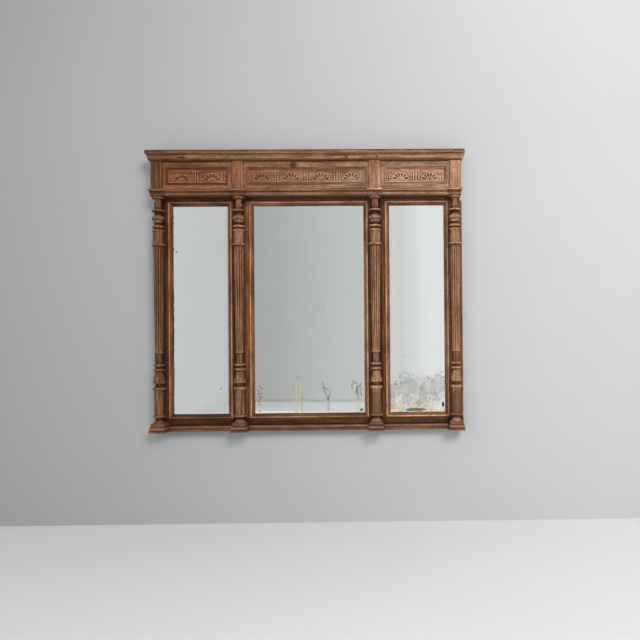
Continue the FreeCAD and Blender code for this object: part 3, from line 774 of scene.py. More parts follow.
def mitred_frame(node: str, section: Section, box: tuple[float, float, float, float],
                 material: Material) -> None:
    """Four mitred sticks round an opening, which stand for one node.

    Args:
        node: the node they replace.
        section: the sticks' section.
        box: low x, high x, low height and high height of the opening.
        material: what they are made of.
    """
    left, right, low, high = box
    sides = (("bottom", (left, low), (right, low), (0.0, 1.0)),
             ("right", (right, low), (right, high), (-1.0, 0.0)),
             ("top", (right, high), (left, high), (0.0, -1.0)),
             ("left", (left, high), (left, low), (1.0, 0.0)))
    outline = section.points()
    inner, out, wear = outline.T
    for side, start, end, inward in sides:
        path = np.subtract(end, start)
        length = float(np.hypot(*path))
        points, grain = [], []
        for t in np.linspace(0.0, 1.0, STICK_ROWS):
            run = inner + (length - 2.0 * inner) * t
            flat = np.array(start) + np.outer(run, path / length) + np.outer(inner, inward)
            points.append(np.column_stack([flat[:, 0], out, flat[:, 1]]))
            grain.append(np.column_stack([run, inner, out]))
        stick = new_piece(f"{node}_{side}", np.vstack(points),
                          tube_faces(STICK_ROWS, len(outline)), np.vstack(grain), material,
                          np.tile(wear, STICK_ROWS))
        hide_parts(node)


class Form(Enum):
    """Shapes that a lathe leaves between two radii."""

    STRAIGHT = "straight"
    BEAD = "bead"
    COVE = "cove"
    SWELL = "swell"
    BOWL = "bowl"
    BELL = "bell"
    FLARE = "flare"
    HOLLOW = "hollow"
    SPREAD = "spread"


# How many rows of points a curved member has.
MEMBER_ROWS = 13
# How far a form has gone from its top radius to its foot radius, by the share of its height.
COURSES: dict[Form, Callable[[float], float]] = {
    Form.SWELL: lambda t: math.sin(t * math.pi / 2.0),
    Form.BOWL: lambda t: 1.0 - math.sqrt(1.0 - t * t),
    Form.BELL: lambda t: 0.5 - 0.5 * math.cos(t * math.pi),
    Form.FLARE: lambda t: t ** 1.35,
    Form.HOLLOW: lambda t: 1.0 - (1.0 - t) ** 2.4,
    Form.SPREAD: lambda t: t ** 2.4,
}


@dataclass(frozen=True)
class Member:
    """One turned member: its height, its radius at top and foot, and its form.

    A bead stands out by its bulge between the two radii, and a cove sinks in by it.
    """

    height: float
    top: float
    foot: float
    form: Form = Form.STRAIGHT
    bulge: float = 0.0

    def outline(self, level: float) -> list[Pair]:
        """Radius and height of the points of this member.

        Args:
            level: height of its top.

        Returns:
            The points, from the top down.
        """
        foot_level = level - self.height
        if self.form is Form.STRAIGHT:
            ease = min(0.8, self.height / 4.0)
            return [(self.top - ease, level), (self.top, level - ease),
                    (self.foot, foot_level + ease), (self.foot - ease, foot_level)]
        course = COURSES.get(self.form, lambda t: t)
        bulge = self.bulge * {Form.BEAD: 1.0, Form.COVE: -1.0}.get(self.form, 0.0)
        made = []
        for t in (np.arange(MEMBER_ROWS) / (MEMBER_ROWS - 1.0)).tolist():
            radius = self.top + (self.foot - self.top) * course(t)
            radius += bulge * math.sqrt(max(0.0, 1.0 - (2.0 * t - 1.0) ** 2))
            made.append((radius, level - self.height * t))
        return made


# Members of a column over and under its shaft, from the top down.
OVER_SHAFT = (
    Member(10, 31, 31, Form.BEAD, 4.8), Member(14, 27, 17.8, Form.HOLLOW), Member(18, 17.8, 17.6),
    Member(12, 18.2, 18.2, Form.BEAD, 1.6), Member(12, 17.4, 17.4),
    Member(9, 17.8, 27, Form.SPREAD), Member(9, 32.4, 32.4, Form.BEAD, 4.6),
    Member(10, 22, 14.8, Form.HOLLOW), Member(7, 14.8, 15.2), Member(6, 15.6, 24, Form.BELL),
    Member(17, 24, 36.8, Form.SWELL), Member(7, 36.4, 31, Form.BEAD, 1), Member(3, 26.6, 26.6),
    Member(16, 29.6, 20, Form.BOWL), Member(14, 17.5, 18.5),
    Member(12, 29.5, 29.5, Form.BEAD, 4.6), Member(12, 27.5, 27, Form.COVE, 1.8),
    Member(10, 31.6, 31.6, Form.BEAD, 3.8), Member(66, 30.6, 31.4), Member(4, 32.5, 34.5),
    Member(10, 34.8, 34.2, Form.BEAD, 3.9),
)
UNDER_SHAFT = (
    Member(9, 23.2, 23.2, Form.BEAD, 3.2), Member(61, 17.6, 19.4),
    Member(11, 26.8, 26.8, Form.BEAD, 4.6), Member(15, 23.5, 23.5, Form.COVE, 3),
    Member(12, 27.8, 27.8, Form.BEAD, 4.6), Member(60, 20.5, 34, Form.FLARE),
    Member(11, 35.2, 31, Form.BEAD, 0.8), Member(21, 20.5, 20.5, Form.COVE, 1.8),
    Member(17, 30, 30, Form.BEAD, 5.6), Member(142, 27.2, 27.8),
    Member(12, 31, 31, Form.BEAD, 4.4), Member(15, 20.2, 19.6), Member(4, 21.6, 22.4),
    Member(14, 22.8, 32.8, Form.SWELL),
)


@dataclass
class Column:
    """A turned column with a fluted shaft, from its cap ring down to its foot.

    Each flute runs out over run_length, from run_out off the shaft's end. Its wear compares each
    row with its neighbours: ridges are rubbed pale, and grooves take dirt with painted shade.
    The sides take dirt and painted shade, which start where beside says and are stronger on the
    left, away from the light.
    """

    name: str
    x: float
    depth: float = 78.0
    top: float = 1336.0
    foot: float = 53.0
    shaft_top: float = 30.3
    shaft_foot: float = 22.6
    shaft_rows: int = 33
    flutes: int = 12
    cuts: int = 12
    flute_depth: float = 3.2
    flute_share: float = 0.80
    run_out: float = 5.0
    run_length: float = 7.0
    wear_reach: float = 9.0
    wear_scale: float = 5.0
    least_spread: float = 0.05
    ridge_rub: float = 0.32
    groove_dirt_and_shade: float = 1.2
    flute_rub: float = 0.45
    flute_dirt_and_shade: float = 1.1
    beside: Pair = (-0.72, -0.12)
    smooth_below: float = 40.0
    over: tuple[Member, ...] = OVER_SHAFT
    under: tuple[Member, ...] = UNDER_SHAFT

    def outline(self) -> list[Triple]:
        """Put the members and the shaft in a row.

        Returns:
            Radius, height and share of the flutes' depth for every row, from the top down.
        """
        level = self.top
        rows: list[Triple] = []
        for member in self.over:
            rows += [(*place, 0.0) for place in member.outline(level)]
            level -= member.height
        foot = self.foot + sum(member.height for member in self.under)
        for t in (np.arange(self.shaft_rows) / (self.shaft_rows - 1)).tolist():
            run = min(t, 1.0 - t) * (level - foot) - self.run_out
            share = math.sqrt(max(0.0, 1.0 - (1.0 - min(1.0, run / self.run_length)) ** 2))
            rows.append((self.shaft_top + (self.shaft_foot - self.shaft_top) * t,
                         level - (level - foot) * t, share if run > 0.0 else 0.0))
        level = foot
        for member in self.under:
            rows += [(*place, 0.0) for place in member.outline(level)]
            level -= member.height
        return rows

    def proud(self, radii: Sequence[float], heights: Sequence[float]) -> Array:
        """How far each row stands out from the mean of its neighbours.

        Args:
            radii: the radius of each row.
            heights: its height.

        Returns:
            A number from -1 to 1 for each row.
        """
        radius, height = np.array(radii), np.array(heights)
        near = np.exp(-((height[:, None] - height) / self.wear_reach) ** 2)
        near *= np.maximum(np.abs(np.gradient(height)), self.least_spread)
        mean = (near * radius).sum(1) / near.sum(1)
        return np.clip((radius - mean) / self.wear_scale, -1.0, 1.0)

    def build(self) -> None:
        """Make the column in place of its plainer solid, worn on its rings and between flutes, with
        dirt and painted shade in its grooves and on its sides.
        """
        rows = self.outline()
        count = self.flutes * self.cuts
        angle = np.arange(count) * 2.0 * math.pi / count
        within = (np.arange(count) % self.cuts) / self.cuts * 2.0 - 1.0
        hollow = rounded(within, self.flute_share)
        points, rub = [], []
        radii, heights, _ = zip(*rows)
        # Dirt and painted shade on the column's sides: full on the left, away from the light, and
        # three quarters on the right.
        beside = eased(-np.sin(angle), *self.beside) * np.where(np.cos(angle) < 0.0, 1.0, 0.75)
        for (radius, height, share), ridge in zip(rows, self.proud(radii, heights)):
            r = radius - self.flute_depth * share * hollow
            touched = ridge * (self.ridge_rub if ridge > 0.0 else self.groove_dirt_and_shade)
            touched += share * (self.flute_rub - self.flute_dirt_and_shade * hollow)
            rub.append(np.clip(touched - beside, -1.0, 1.0))
            points.append(np.column_stack([r * np.cos(angle), r * np.sin(angle),
                                           np.full(count, height)]))
        local = np.vstack([*points, [[0.0, 0.0, heights[0]], [0.0, 0.0, heights[-1]]]])
        worn = np.append(np.concatenate(rub), (0.0, 0.0))
        faces = tube_faces(len(rows), count, capped=False)
        cap = len(rows) * count
        faces += [(cap, (i + 1) % count, i) for i in range(count)]
        faces += [(cap + 1, cap - count + i, cap - count + (i + 1) % count) for i in range(count)]
        placed = local + (self.x, self.depth, 0.0)
        piece = new_piece(f"turned_{self.name}", placed, faces, local[:, [2, 0, 1]],
                          COLUMN_OAK.material(Grain.WORKED), worn, self.smooth_below)
        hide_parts(self.name)


@dataclass(frozen=True)
class Fan:
    """A carved half flower: its middle, its reach and its number of petals.

    Arcs are the radii of outer ridges. Chips are the wedges cut between the petals, from one
    share of the reach to another. The moat, which is (radius, half width, rise), runs round the
    button. The button and the eye drilled in it are (radius, rise).
    """

    x: float
    reach: float = 53.0
    petals: int = 7
    arcs: tuple[float, ...] = ()
    petal_rise: float = 2.6
    chips: Pair = (0.40, 0.96)
    chip_half: float = 6.6
    chip_depth: float = 4.0
    rim_share: float = 0.97
    rim_half: float = 2.6
    rim_rise: float = 2.4
    moat: Triple = (12.5, 2.2, -2.0)
    button: Pair = (10.5, 2.8)
    eye: Pair = (4.6, -3.0)
    arc_half: float = 4.6
    arc_drop: float = 2.6


@dataclass
class CarvedPanel:
    """One sunk panel of the frieze with its low relief.

    Cuts are (half width, depth), a slab is (half width, half height, rise), a pit and a ball are
    (radius, depth or rise), and a shelf is (drop under the baseline, half height, rise). What
    stands ridge millimetres over its softened surroundings is rubbed, and what lies deeper than
    the first of hollow is darkened with dirt and painted shade.
    """

    name: str
    left: float
    right: float
    fans: tuple[Fan, ...]
    flutes: tuple[float, ...]
    end_grooves: tuple[float, ...]
    beads: tuple[Pair, ...] = ()
    low: float = 1398.0
    high: float = 1500.0
    face: float = 94.0
    thickness: float = 10.0
    sunk: float = 3.1
    baseline: float = 1419.0
    groove_middle: float = 1449.5
    groove_half: float = 29.0
    flute_step: float = 14.5
    flute_cut: Pair = (3.6, 5.0)
    end_cut: Pair = (3.4, 3.2)
    slab: Triple = (22.5, 33.0, 2.2)
    pit: Pair = (6.5, 3.0)
    ball: Pair = (3.8, 4.6)
    shelf: Triple = (2.4, 2.9, 1.6)
    shelf_cut: Triple = (7.6, 3.0, -2.8)
    margin: float = 12.0
    pitch: float = 1.2
    ridge: float = 0.9
    hollow: Pair = (3.6, 4.5)
    softenings: int = 10
    smooth_below: float = 60.0

    def fan_relief(self, x: Array, z: Array, fan: Fan) -> Array:
        """Height of one fan over the ground, in millimetres.

        Args:
            x: distance right of the middle, for each point of the field.
            z: height above the base, for each point of the field.
            fan: the fan.

        Returns:
            The relief at each point.
        """
        across, up = x - fan.x, z - self.baseline
        reach = np.hypot(across, up)
        angle = np.arctan2(np.maximum(up, 0.0), across)
        above = eased(up, -0.5, 1.0)
        pitch = math.pi / fan.petals
        off = ((angle / pitch + 0.5) % 1.0 - 0.5) * pitch * reach
        inner, outer = (share * fan.reach for share in fan.chips)
        t = np.clip((reach - inner) / (outer - inner), 0.0, 1.0)
        half = fan.chip_half * np.sin(math.pi * t ** 1.5) ** 0.7 + 1e-6
        chip = -fan.chip_depth * np.clip(1.0 - np.abs(off) / half, 0.0, 1.0) ** 0.8
        inside = (angle > 0.45 * pitch) & (angle < math.pi - 0.45 * pitch)
        along = np.clip((reach - 10.0) / (fan.reach - 10.0), 0.0, 1.0)
        petal = fan.petal_rise * np.sin(math.pi * along) ** 0.5
        made = petal + np.where(inside, chip - petal * (chip < 0.0), 0.0)
        rim = fan.rim_rise * rounded(reach - fan.reach * fan.rim_share, fan.rim_half)
        made = np.where(rim > 0.0, np.maximum(made, rim), made)
        (moat, half_moat, moat_rise), (button, button_rise) = fan.moat, fan.button
        made = np.where(np.abs(reach - moat) < half_moat, moat_rise, made)
        made = np.where(reach < button, button_rise * rounded(reach, button), made)
        made = np.where(reach < fan.eye[0], fan.eye[1], made)
        made = np.where(reach < fan.reach, made, 0.0)
        for arc in fan.arcs:
            band = np.abs(reach - arc)
            ridge = fan.rim_rise * rounded(band, fan.rim_half)
            ridge -= fan.arc_drop * (band > fan.rim_half)
            made = np.where((band < fan.arc_half) & (reach > fan.reach - 1.0), ridge, made)
        return made * above

    def relief(self, x: Array, z: Array) -> Array:
        """Height of the whole carving over the ground, in millimetres.

        Args:
            x: distance right of the middle, for each point of the field.
            z: height above the base, for each point of the field.

        Returns:
            The relief at each point.
        """
        made = np.zeros_like(x)
        for fan in self.fans:
            part = self.fan_relief(x, z, fan)
            made = np.where(np.abs(part) > 1e-6, part, made)
        up = z - self.groove_middle
        wide, tall, rise = self.slab
        for at in self.flutes:
            slab = eased(np.abs(x - at), wide, wide - 1.0) * eased(np.abs(up), tall, tall - 1.0)
            made = np.where(slab > 0.0, rise * slab, made)
            for step in (-self.flute_step, 0.0, self.flute_step):
                made -= groove(x - at - step, up, self.flute_cut, self.groove_half)
        for at in self.end_grooves:
            made -= groove(x - at, up, self.end_cut, self.groove_half)
        for at, height in self.beads:
            reach = np.hypot(x - at, z - height)
            pit = self.pit[1] * eased(reach, self.pit[0], self.pit[0] - 1.3)
            made = np.where(reach < self.pit[0], -pit, made)
            made += self.ball[1] * rounded(reach, self.ball[0])
        shelf, under = (eased(np.abs(z - self.baseline + drop), half, 1.8)
                        for drop, half, _ in (self.shelf, self.shelf_cut))
        made = np.where(shelf > 0.0, np.maximum(made, self.shelf[2] * shelf), made)
        return np.where(under > 0.0, self.shelf_cut[2] * under, made)

    def build(self) -> None:
        """Make the panel in place of its plain board."""
        across, up = (round(size / self.pitch)
                      for size in (self.right - self.left, self.high - self.low))
        x, z = np.meshgrid(np.linspace(self.left, self.right, across + 1),
                           np.linspace(self.low, self.high, up + 1))
        near, far = self.margin, self.margin + 1.0
        field = eased(x - self.left, near, far) * eased(self.right - x, near, far)
        field *= eased(z - self.low, near, far) * eased(self.high - z, near, far)
        front = self.face - self.sunk + self.relief(x, z) * field
        face = np.column_stack([x.ravel(), front.ravel(), z.ravel()])
        number = np.arange(x.size).reshape(x.shape)
        quads = [number[:-1, :-1], number[:-1, 1:], number[1:, 1:], number[1:, :-1]]
        ring = np.concatenate([number[0, :-1], number[:-1, -1], number[-1, :0:-1],
                               number[:0:-1, 0]])
        rim = x.size + np.arange(ring.size)
        walls = np.column_stack([np.roll(ring, -1), ring, rim, np.roll(rim, -1)])
        faces = [*np.stack(quads, -1).reshape(-1, 4).tolist(), *walls.tolist(), rim[::-1].tolist()]
        back = face[ring] * (1.0, 0.0, 1.0) + (0.0, self.face - self.thickness, 0.0)
        points = np.vstack([face, back])
        soft = front.copy()
        for _ in range(self.softenings):
            soft[1:-1, 1:-1] = (soft[1:-1, 1:-1] + soft[:-2, 1:-1] + soft[2:, 1:-1]
                                + soft[1:-1, :-2] + soft[1:-1, 2:]) / 5.0
        # Deep hollows of the carving are darkened: dirt with painted shade.
        sunk = np.minimum(front - self.face + self.hollow[0], 0.0) / self.hollow[1]
        rub = np.clip((front - soft) / self.ridge + sunk, -1.0, 1.0).ravel()
        rub = np.append(rub, np.zeros(len(ring)))
        piece = new_piece(f"carved_{self.name}", points, faces, points,
                          FRIEZE_OAK.material(Grain.WORKED), rub, self.smooth_below)
        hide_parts(self.name)


def eased(value: Array, start: float, end: float) -> Array:
    """Smooth step from 0 where value is at start to 1 where it is at end."""
    t = np.clip((value - start) / (end - start), 0.0, 1.0)
    return t * t * (3.0 - 2.0 * t)


def rounded(off: Array, half: float) -> Array:
    """Height of a half circle of radius 1, stretched to half, at a distance from its middle."""
    return np.sqrt(np.clip(1.0 - (off / half) ** 2, 0.0, 1.0))


def groove(across: Array, up: Array, cut: Pair, half_length: float) -> Array:
    """Depth of an upright round-bottomed groove with round ends.

    Args:
        across: distance from its middle line.
        up: distance from its middle.
        cut: half its width, and its depth.
        half_length: half its length.

    Returns:
        How far it sinks in at each point.
    """
    half_width, depth = cut
    beyond = np.maximum(np.abs(up) - (half_length - half_width), 0.0)
    return depth * rounded(np.hypot(across, beyond), half_width)


# The carved panels: their ends, fans, fluted slabs, end grooves and beads.
PANELS = (
    CarvedPanel("frieze_panel_left", -794, -444,
                (Fan(-708, 46, 7, (52, 61)), Fan(-536, 51)), (-622,), (-774, -471)),
    CarvedPanel("frieze_panel_centre", -338, 338,
                (Fan(-252), Fan(-88), Fan(82), Fan(254)), (-170, 166),
                (-314, -18.5, 11.5, 315), ((-3.6, 1478), (-3.6, 1452), (-3.6, 1427.5))),
    CarvedPanel("frieze_panel_right", 444, 794,
                (Fan(533, 52), Fan(700, 50)), (616,), (465, 768)),
)


@dataclass
class Frieze:
    """The band under the cornice: framing, blocks, carved panels and their mouldings."""

    block_ease: float = 1.5
    panels: tuple[CarvedPanel, ...] = PANELS
    # Its wear darkens the sloped faces towards the field: dirt with painted shade.
    moulding: Section = Section((
        (0, 90.5, -0.5), (0, 101, -0.3), (2, 101, -0.3), (2.4, 99, -0.35, -1),
        (7, 95, -0.35), (11, 92.5, -0.5), (12, 92, -0.6), (12, 90.5, -1)))

    def build(self) -> None:
        """Dress the framing and make the carved panels with their mouldings."""
        level = FRIEZE_OAK.material(Grain.LENGTHWISE)
        upright = FRIEZE_OAK.material(Grain.UPRIGHT)
        for name in ("frieze_rail_top", "frieze_rail_bottom"):
            dress_node(name, level)
        for name in COLUMN_PLACES:
            dress_node(f"frieze_stile_{name}", upright)
            dress_node(f"frieze_block_{name}", upright, self.block_ease)
        for side in ("left", "right"):
            dress_node(f"frieze_end_{side}", upright)
        for panel in self.panels:
            panel.build()
            mitred_frame(panel.name.replace("frieze_panel", "panel_moulding"), self.moulding,
                         (panel.left, panel.right, panel.low, panel.high),
                         FRIEZE_OAK.material(Grain.WORKED))


# The middle of each column along X, and the names of the three bays.
COLUMN_PLACES = {"far_left": -843.0, "left": -387.0, "right": 387.0, "far_right": 843.0}
BAYS = ("left", "centre", "right")
# How pale or dark the mouldings that are plain solids are, by height: wear and dirt, together with
# painted highlights on faces that catch the light and painted shade under overhangs.
CORNICE_BANDS = Bands("cornice", (
    (1532, -0.45), (1537, -0.5), (1542, -0.15), (1549, 0.35), (1555, 0.15),
    (1560, -0.1), (1564, -0.6), (1569, -0.35), (1574, 0.3), (1580, -0.2),
    (1588, -0.9)))
ARCHITRAVE_BANDS = Bands("architrave", (
    (1341, -1), (1345, -0.1), (1350, 0.7), (1355, -0.3), (1361, -0.35),
    (1366, 0.85), (1369, 0.4), (1372, -0.8)))
CAPITAL_BANDS = Bands("capital", (
    (1336, -0.6), (1341, -0.2), (1344, 0.3), (1348, -0.4), (1358, -0.7),
    (1362, -0.2), (1366, 0.6), (1370, 0.2), (1372.5, -0.7)))
PLINTH_BANDS = Bands("plinth", (
    (0, 0.4), (4, 0.5), (9, -0.2), (13, -1), (18, 0.1), (22, 0.5), (27, 0.7),
    (31, -0.7), (37, -0.2), (43, 0.15), (49, 0.2), (53, -0.2)))
BASE_BANDS = Bands("base", (
    (0, 0.2), (2, 0.4), (6, 0), (13, -0.35), (19, -0.6), (22, 0.25), (27, 0.5),
    (31, -0.1), (34, -1)))


@dataclass
class Crown:
    """The cornice, the architrave with its capital blocks, and the lid."""

    ease: float = 0.8

    def build(self) -> None:
        """Dress the solids of the crown."""
        dress_node("cornice_front", CORNICE_OAK.material(Grain.LENGTHWISE, CORNICE_BANDS))
        returns = CORNICE_OAK.material(Grain.CROSSWISE, CORNICE_BANDS)
        for side in ("left", "right"):
            dress_node(f"cornice_return_{side}", returns)
        dress_node("top_board", BACK_OAK.material(Grain.LENGTHWISE))
        architrave = CAPITAL_OAK.material(Grain.LENGTHWISE, ARCHITRAVE_BANDS)
        for bay in BAYS:
            dress_node(f"architrave_{bay}", architrave, self.ease)
        capital = CAPITAL_OAK.material(Grain.LENGTHWISE, CAPITAL_BANDS)
        for place in COLUMN_PLACES:
            dress_node(f"capital_block_{place}", capital, self.ease)


@dataclass
class Carcass:
    """Flat framework behind the columns, and the closed box of the frieze."""

    def build(self) -> None:
        """Dress the boards that carry everything else."""
        for place in COLUMN_PLACES:
            dress_node(f"stile_{place}", CARCASS_OAK.material(Grain.UPRIGHT))
        for name in ("bottom_rail", "head_board", "soffit_board"):
            dress_node(name, CARCASS_OAK.material(Grain.LENGTHWISE))


# Tones of lost and stained silver.
BLACK: Colour = (0.035, 0.030, 0.026)
INK: Colour = (0.16, 0.15, 0.14)
OLIVE: Colour = (0.69, 0.69, 0.53)
MIST: Colour = (0.68, 0.70, 0.66)
LILAC: Colour = (0.60, 0.60, 0.67)
GREY: Colour = (0.57, 0.59, 0.57)
STRAW: Colour = (0.82, 0.72, 0.50)
CHALK: Colour = (0.97, 0.94, 0.86)
RUST: Colour = (0.46, 0.34, 0.22)
# Small black specks and thin smudges in the centre pane, as x and height, and for the
# smudges also half width, half height and lean.
SPECKS = (
    (-291, 252), (-278, 240), (-297, 228), (-282, 211), (-295, 212), (-296, 197), (-281, 190),
    (-290, 182), (-295, 163), (-289, 148), (-290, 108),
)
STROKES = (
    (92, 236, 6, 15, -1.68), (112, 198, 3.2, 26, 0.28), (88, 212, 3, 40, -0.45),
    (105, 180, 6, 15, 0), (246, 258, 3.4, 20, 0.44), (264, 270, 6, 9, -1.2),
    (276, 216, 4.4, 50, -0.05), (246, 238, 3.4, 10, -0.4), (267, 220, 3.8, 24, 0.24),
    (291, 254, 3.4, 16, 0.5), (298, 236, 3, 12, -0.8), (296, 210, 3.4, 26, -0.31),
)
# Where the silver of each pane has gone, as the years leave it.
PANE_STAINS: dict[str, tuple[Stain, ...]] = {
    "left": (
        Stain(-764, 1034, 5, 5, BLACK, 1, 0.25, 200),
        Stain(-514, 240, 4, 5, BLACK, 1, 0.3, 200),
        Stain(-784, 600, 5, 230, BLACK, 0.9, 1.5, 60),
        Stain(-783, 330, 5, 90, INK, 0.6, 1.2, 60),
    ),
    "centre": (
        *(Stain(x, height, 4.2, 4.8, BLACK, 1.0, 0.5, 150.0) for x, height in SPECKS),
        Stain(98, 220, 26, 50, OLIVE, 0.4, 0.9, 60),
        Stain(76, 262, 6, 22, INK, 0.4, 1.3, 110, lean=-0.4),
        Stain(270, 240, 34, 46, OLIVE, 0.3, 0.9, 60),
        *(Stain(x, height, wide * 1.5, tall, INK, 0.6, 1.5, 110.0, lean=lean)
          for x, height, wide, tall, lean in STROKES),
        Stain(-69, 315, 30, 32, OLIVE, 0.45, 0.6, 60),
        Stain(-66, 225, 30, 98, OLIVE, 0.7, 0.5, 60, 0.12),
        Stain(-83, 135, 13, 66, OLIVE, 0.9, 0.4, 60),
        Stain(-47, 155, 9, 84, (0.60, 0.57, 0.46), 0.7, 0.5, 90),
        Stain(-68, 232, 4.5, 44, (0.50, 0.48, 0.39), 0.5, 0.9, 60, lean=0.1),
        Stain(-92, 246, 3, 26, (0.50, 0.48, 0.39), 0.5, 0.9, 60, lean=0.3),
        Stain(-70, 300, 6, 5, INK, 0.5, 0.4, 150),
        Stain(107, 132, 10, 42, RUST, 0.45, 1, 90),
        Stain(254, 243, 16, 24, OLIVE, 0.4, 0.9, 60),
        Stain(276, 138, 13, 44, OLIVE, 0.8, 0.7, 60),
        Stain(300, 111, 12, 11, INK, 0.9, 1.6, 110),
        Stain(50, 715, 42, 60, MIST, 0.2, 1, 22, dull=0.1),
    ),
    "right": (
        Stain(550, 292, 34, 40, MIST, 0.7, 0.8, 48, 0.6),
        Stain(553, 284, 12, 16, OLIVE, 0.9, 1, 90),
        Stain(494, 212, 30, 64, LILAC, 0.8, 0.8, 60, 0.5),
        Stain(577, 238, 57, 50, GREY, 0.8, 0.7, 48, 0.6),
        Stain(553, 228, 20, 36, (0.70, 0.74, 0.70), 0.9, 0.9, 60),
        Stain(618, 222, 9, 36, OLIVE, 0.9, 0.9, 90),
        Stain(683, 250, 32, 52, MIST, 0.8, 0.8, 48, 0.6),
        Stain(745, 256, 42, 58, GREY, 0.8, 0.8, 48, 0.7),
        Stain(744, 244, 24, 36, LILAC, 0.9, 0.8, 60),
        Stain(716, 250, 9, 32, OLIVE, 0.9, 0.9, 90, 0.4),
        Stain(655, 222, 16, 40, LILAC, 0.8, 1, 60, 0.4),
        Stain(630, 148, 200, 60, CHALK, 1, 0.5, 60, 0, 0.6),
        Stain(560, 170, 28, 34, LILAC, 1, 0.7, 48, 0.6),
        Stain(653, 190, 22, 50, GREY, 1, 0.6, 48, 0.6),
        Stain(610, 168, 26, 28, (0.78, 0.72, 0.64), 0.9, 1, 60, 0.3, 0.6),
        Stain(690, 176, 17, 34, (0.86, 0.80, 0.70), 0.9, 1, 60, 0.5, 0.6),
        Stain(700, 140, 14, 40, (0.98, 0.98, 0.97), 1, 0.9, 60, 0.5, 0.6),
        Stain(732, 172, 22, 38, GREY, 0.9, 1.2, 60, 0.8, lean=-0.5),
        Stain(505, 124, 46, 38, STRAW, 0.9, 0.9, 60, 0.3, 0.6),
        Stain(478, 168, 16, 46, LILAC, 0.8, 1.2, 60, 0.4),
        Stain(618, 130, 60, 20, STRAW, 0.8, 0.9, 60, 0.5, 0.6),
        Stain(631, 148, 12, 18, RUST, 0.9, 0.8, 90, 0.4),
        Stain(742, 130, 44, 34, (0.97, 0.97, 0.95), 1, 0.9, 60, 0.3, 0.6),
        Stain(625, 125, 190, 78, (0.40, 0.38, 0.32), 0.45, 1.9, 60),
        Stain(625, 232, 175, 80, (0.46, 0.46, 0.42), 0.45, 2, 90),
        Stain(612, 109, 76, 11, (0.12, 0.13, 0.11), 0.95, 1, 90, 0, 0.6),
        Stain(771, 138, 9, 18, BLACK, 1, 0.45, 110, 0, 0.9),
        Stain(767, 327, 5, 5, BLACK, 0.9, 0.3, 150, 0, 0.9),
        Stain(494, 256, 6, 7, INK, 0.7, 0.6, 150),
        Stain(541, 426, 3, 3, BLACK, 1, 0.3, 150),
    ),
}


@dataclass
class Panes:
    """The three silvered panes with their mouldings, backboards and beads."""

    low: float = 71.0
    high: float = 1321.0
    side_inner: float = 442.0
    side_outer: float = 808.0
    centre_half: float = 342.0
    bead_ease: float = 0.5
    tint: Colour = (0.80, 0.83, 0.81)
    # Its wear pales the outer bead and darkens the steps next to the glass: dirt with painted
    # shade.
    moulding: Section = Section((
        (0, 4, 0), (0, 33.5, 0), (1, 34.5, 0.75, 2), (7.5, 34.5, 0.75), (8.5, 31.5, -0.2),
        (10, 31, 0.05, -2.2), (20.5, 23.4, -0.5), (21.5, 24.4, -0.1, 0.8), (25, 23, -0.3),
        (25, 20.2, -0.7), (14, 20.2, 0), (14, 4, 0)))

    def build(self) -> None:
        """Dress the panes and make their mouldings."""
        worked, upright = FRAME_OAK.material(Grain.WORKED), BACK_OAK.material(Grain.UPRIGHT)
        ends = {"left": (-self.side_outer, -self.side_inner),
                "centre": (-self.centre_half, self.centre_half),
                "right": (self.side_inner, self.side_outer)}
        for bay, (left, right) in ends.items():
            silver = SilverFinish(f"silver_{bay}", self.tint, PANE_STAINS[bay])
            dress_node(f"mirror_glass_{bay}", silver.material(), 0.0)
            dress_node(f"mirror_backboard_{bay}", upright, 0.0)
            mitred_frame(f"mirror_frame_{bay}", self.moulding, (left, right, self.low, self.high),
                         worked)
        dress_node("glazing_beads", upright, self.bead_ease)


@dataclass
class Base:
    """Plinths and base mouldings along the foot."""

    plinth_ease: float = 1.0
    moulding_ease: float = 0.8

    def build(self) -> None:
        """Dress the solids of the foot."""
        plinth = BASE_OAK.material(Grain.LENGTHWISE, PLINTH_BANDS)
        for place in COLUMN_PLACES:
            dress_node(f"plinth_{place}", plinth, self.plinth_ease)
        moulding = BASE_OAK.material(Grain.LENGTHWISE, BASE_BANDS)
        for bay in BAYS:
            dress_node(f"base_moulding_{bay}", moulding, self.moulding_ease)


@dataclass
class Hangers:
    """Keyhole plates on the back with their screws.

    Rings are the share of a screw head's radius and the depth of each ring of its points.
    """

    spacing: float = 1400.0
    height: float = 1460.0
    screw_rise: float = 25.0
    screw_side: float = 10.0
    head_radius: float = 3.6
    slot_half: float = 0.16
    slot_depth: float = 0.4
    sides: int = 24
    rings: tuple[Pair, ...] = (
        (1.0, 0.6), (1.0, -0.02), (0.85, -0.12), (0.45, -0.15))

    def build(self) -> None:
        """Dress the plates and put in their screws."""
        steel = SteelFinish().material()
        for side, sign in (("left", -1.0), ("right", 1.0)):
            dress_node(f"hanging_plate_{side}", steel, 0.0)
            self.screws(side, sign * self.spacing / 2.0, steel)

    def screws(self, side: str, x: float, steel: Material) -> None:
        """Four slotted screw heads on one plate, as one piece.

        Args:
            side: which plate.
            x: the plate's middle.
            steel: what they are made of.
        """
        points: list[Triple] = []
        faces: list[tuple[int, ...]] = []
        turn = [2.0 * math.pi * i / self.sides for i in range(self.sides)]
        for dx in (-self.screw_side, self.screw_side):
            for dz in (-self.screw_rise, self.screw_rise):
                faces += tube_faces(len(self.rings), self.sides, len(points))
                for share, depth in self.rings:
                    reach = self.head_radius * share
                    for angle in turn:
                        slotted = share < 0.9 and abs(math.sin(angle)) * share < self.slot_half
                        points.append((x + dx + reach * math.cos(angle),
                                       depth + (self.slot_depth if slotted else 0.0),
                                       self.height + dz + reach * math.sin(angle)))
        made = np.array(points)
        new_piece(f"plate_screws_{side}", made, faces, made, steel)


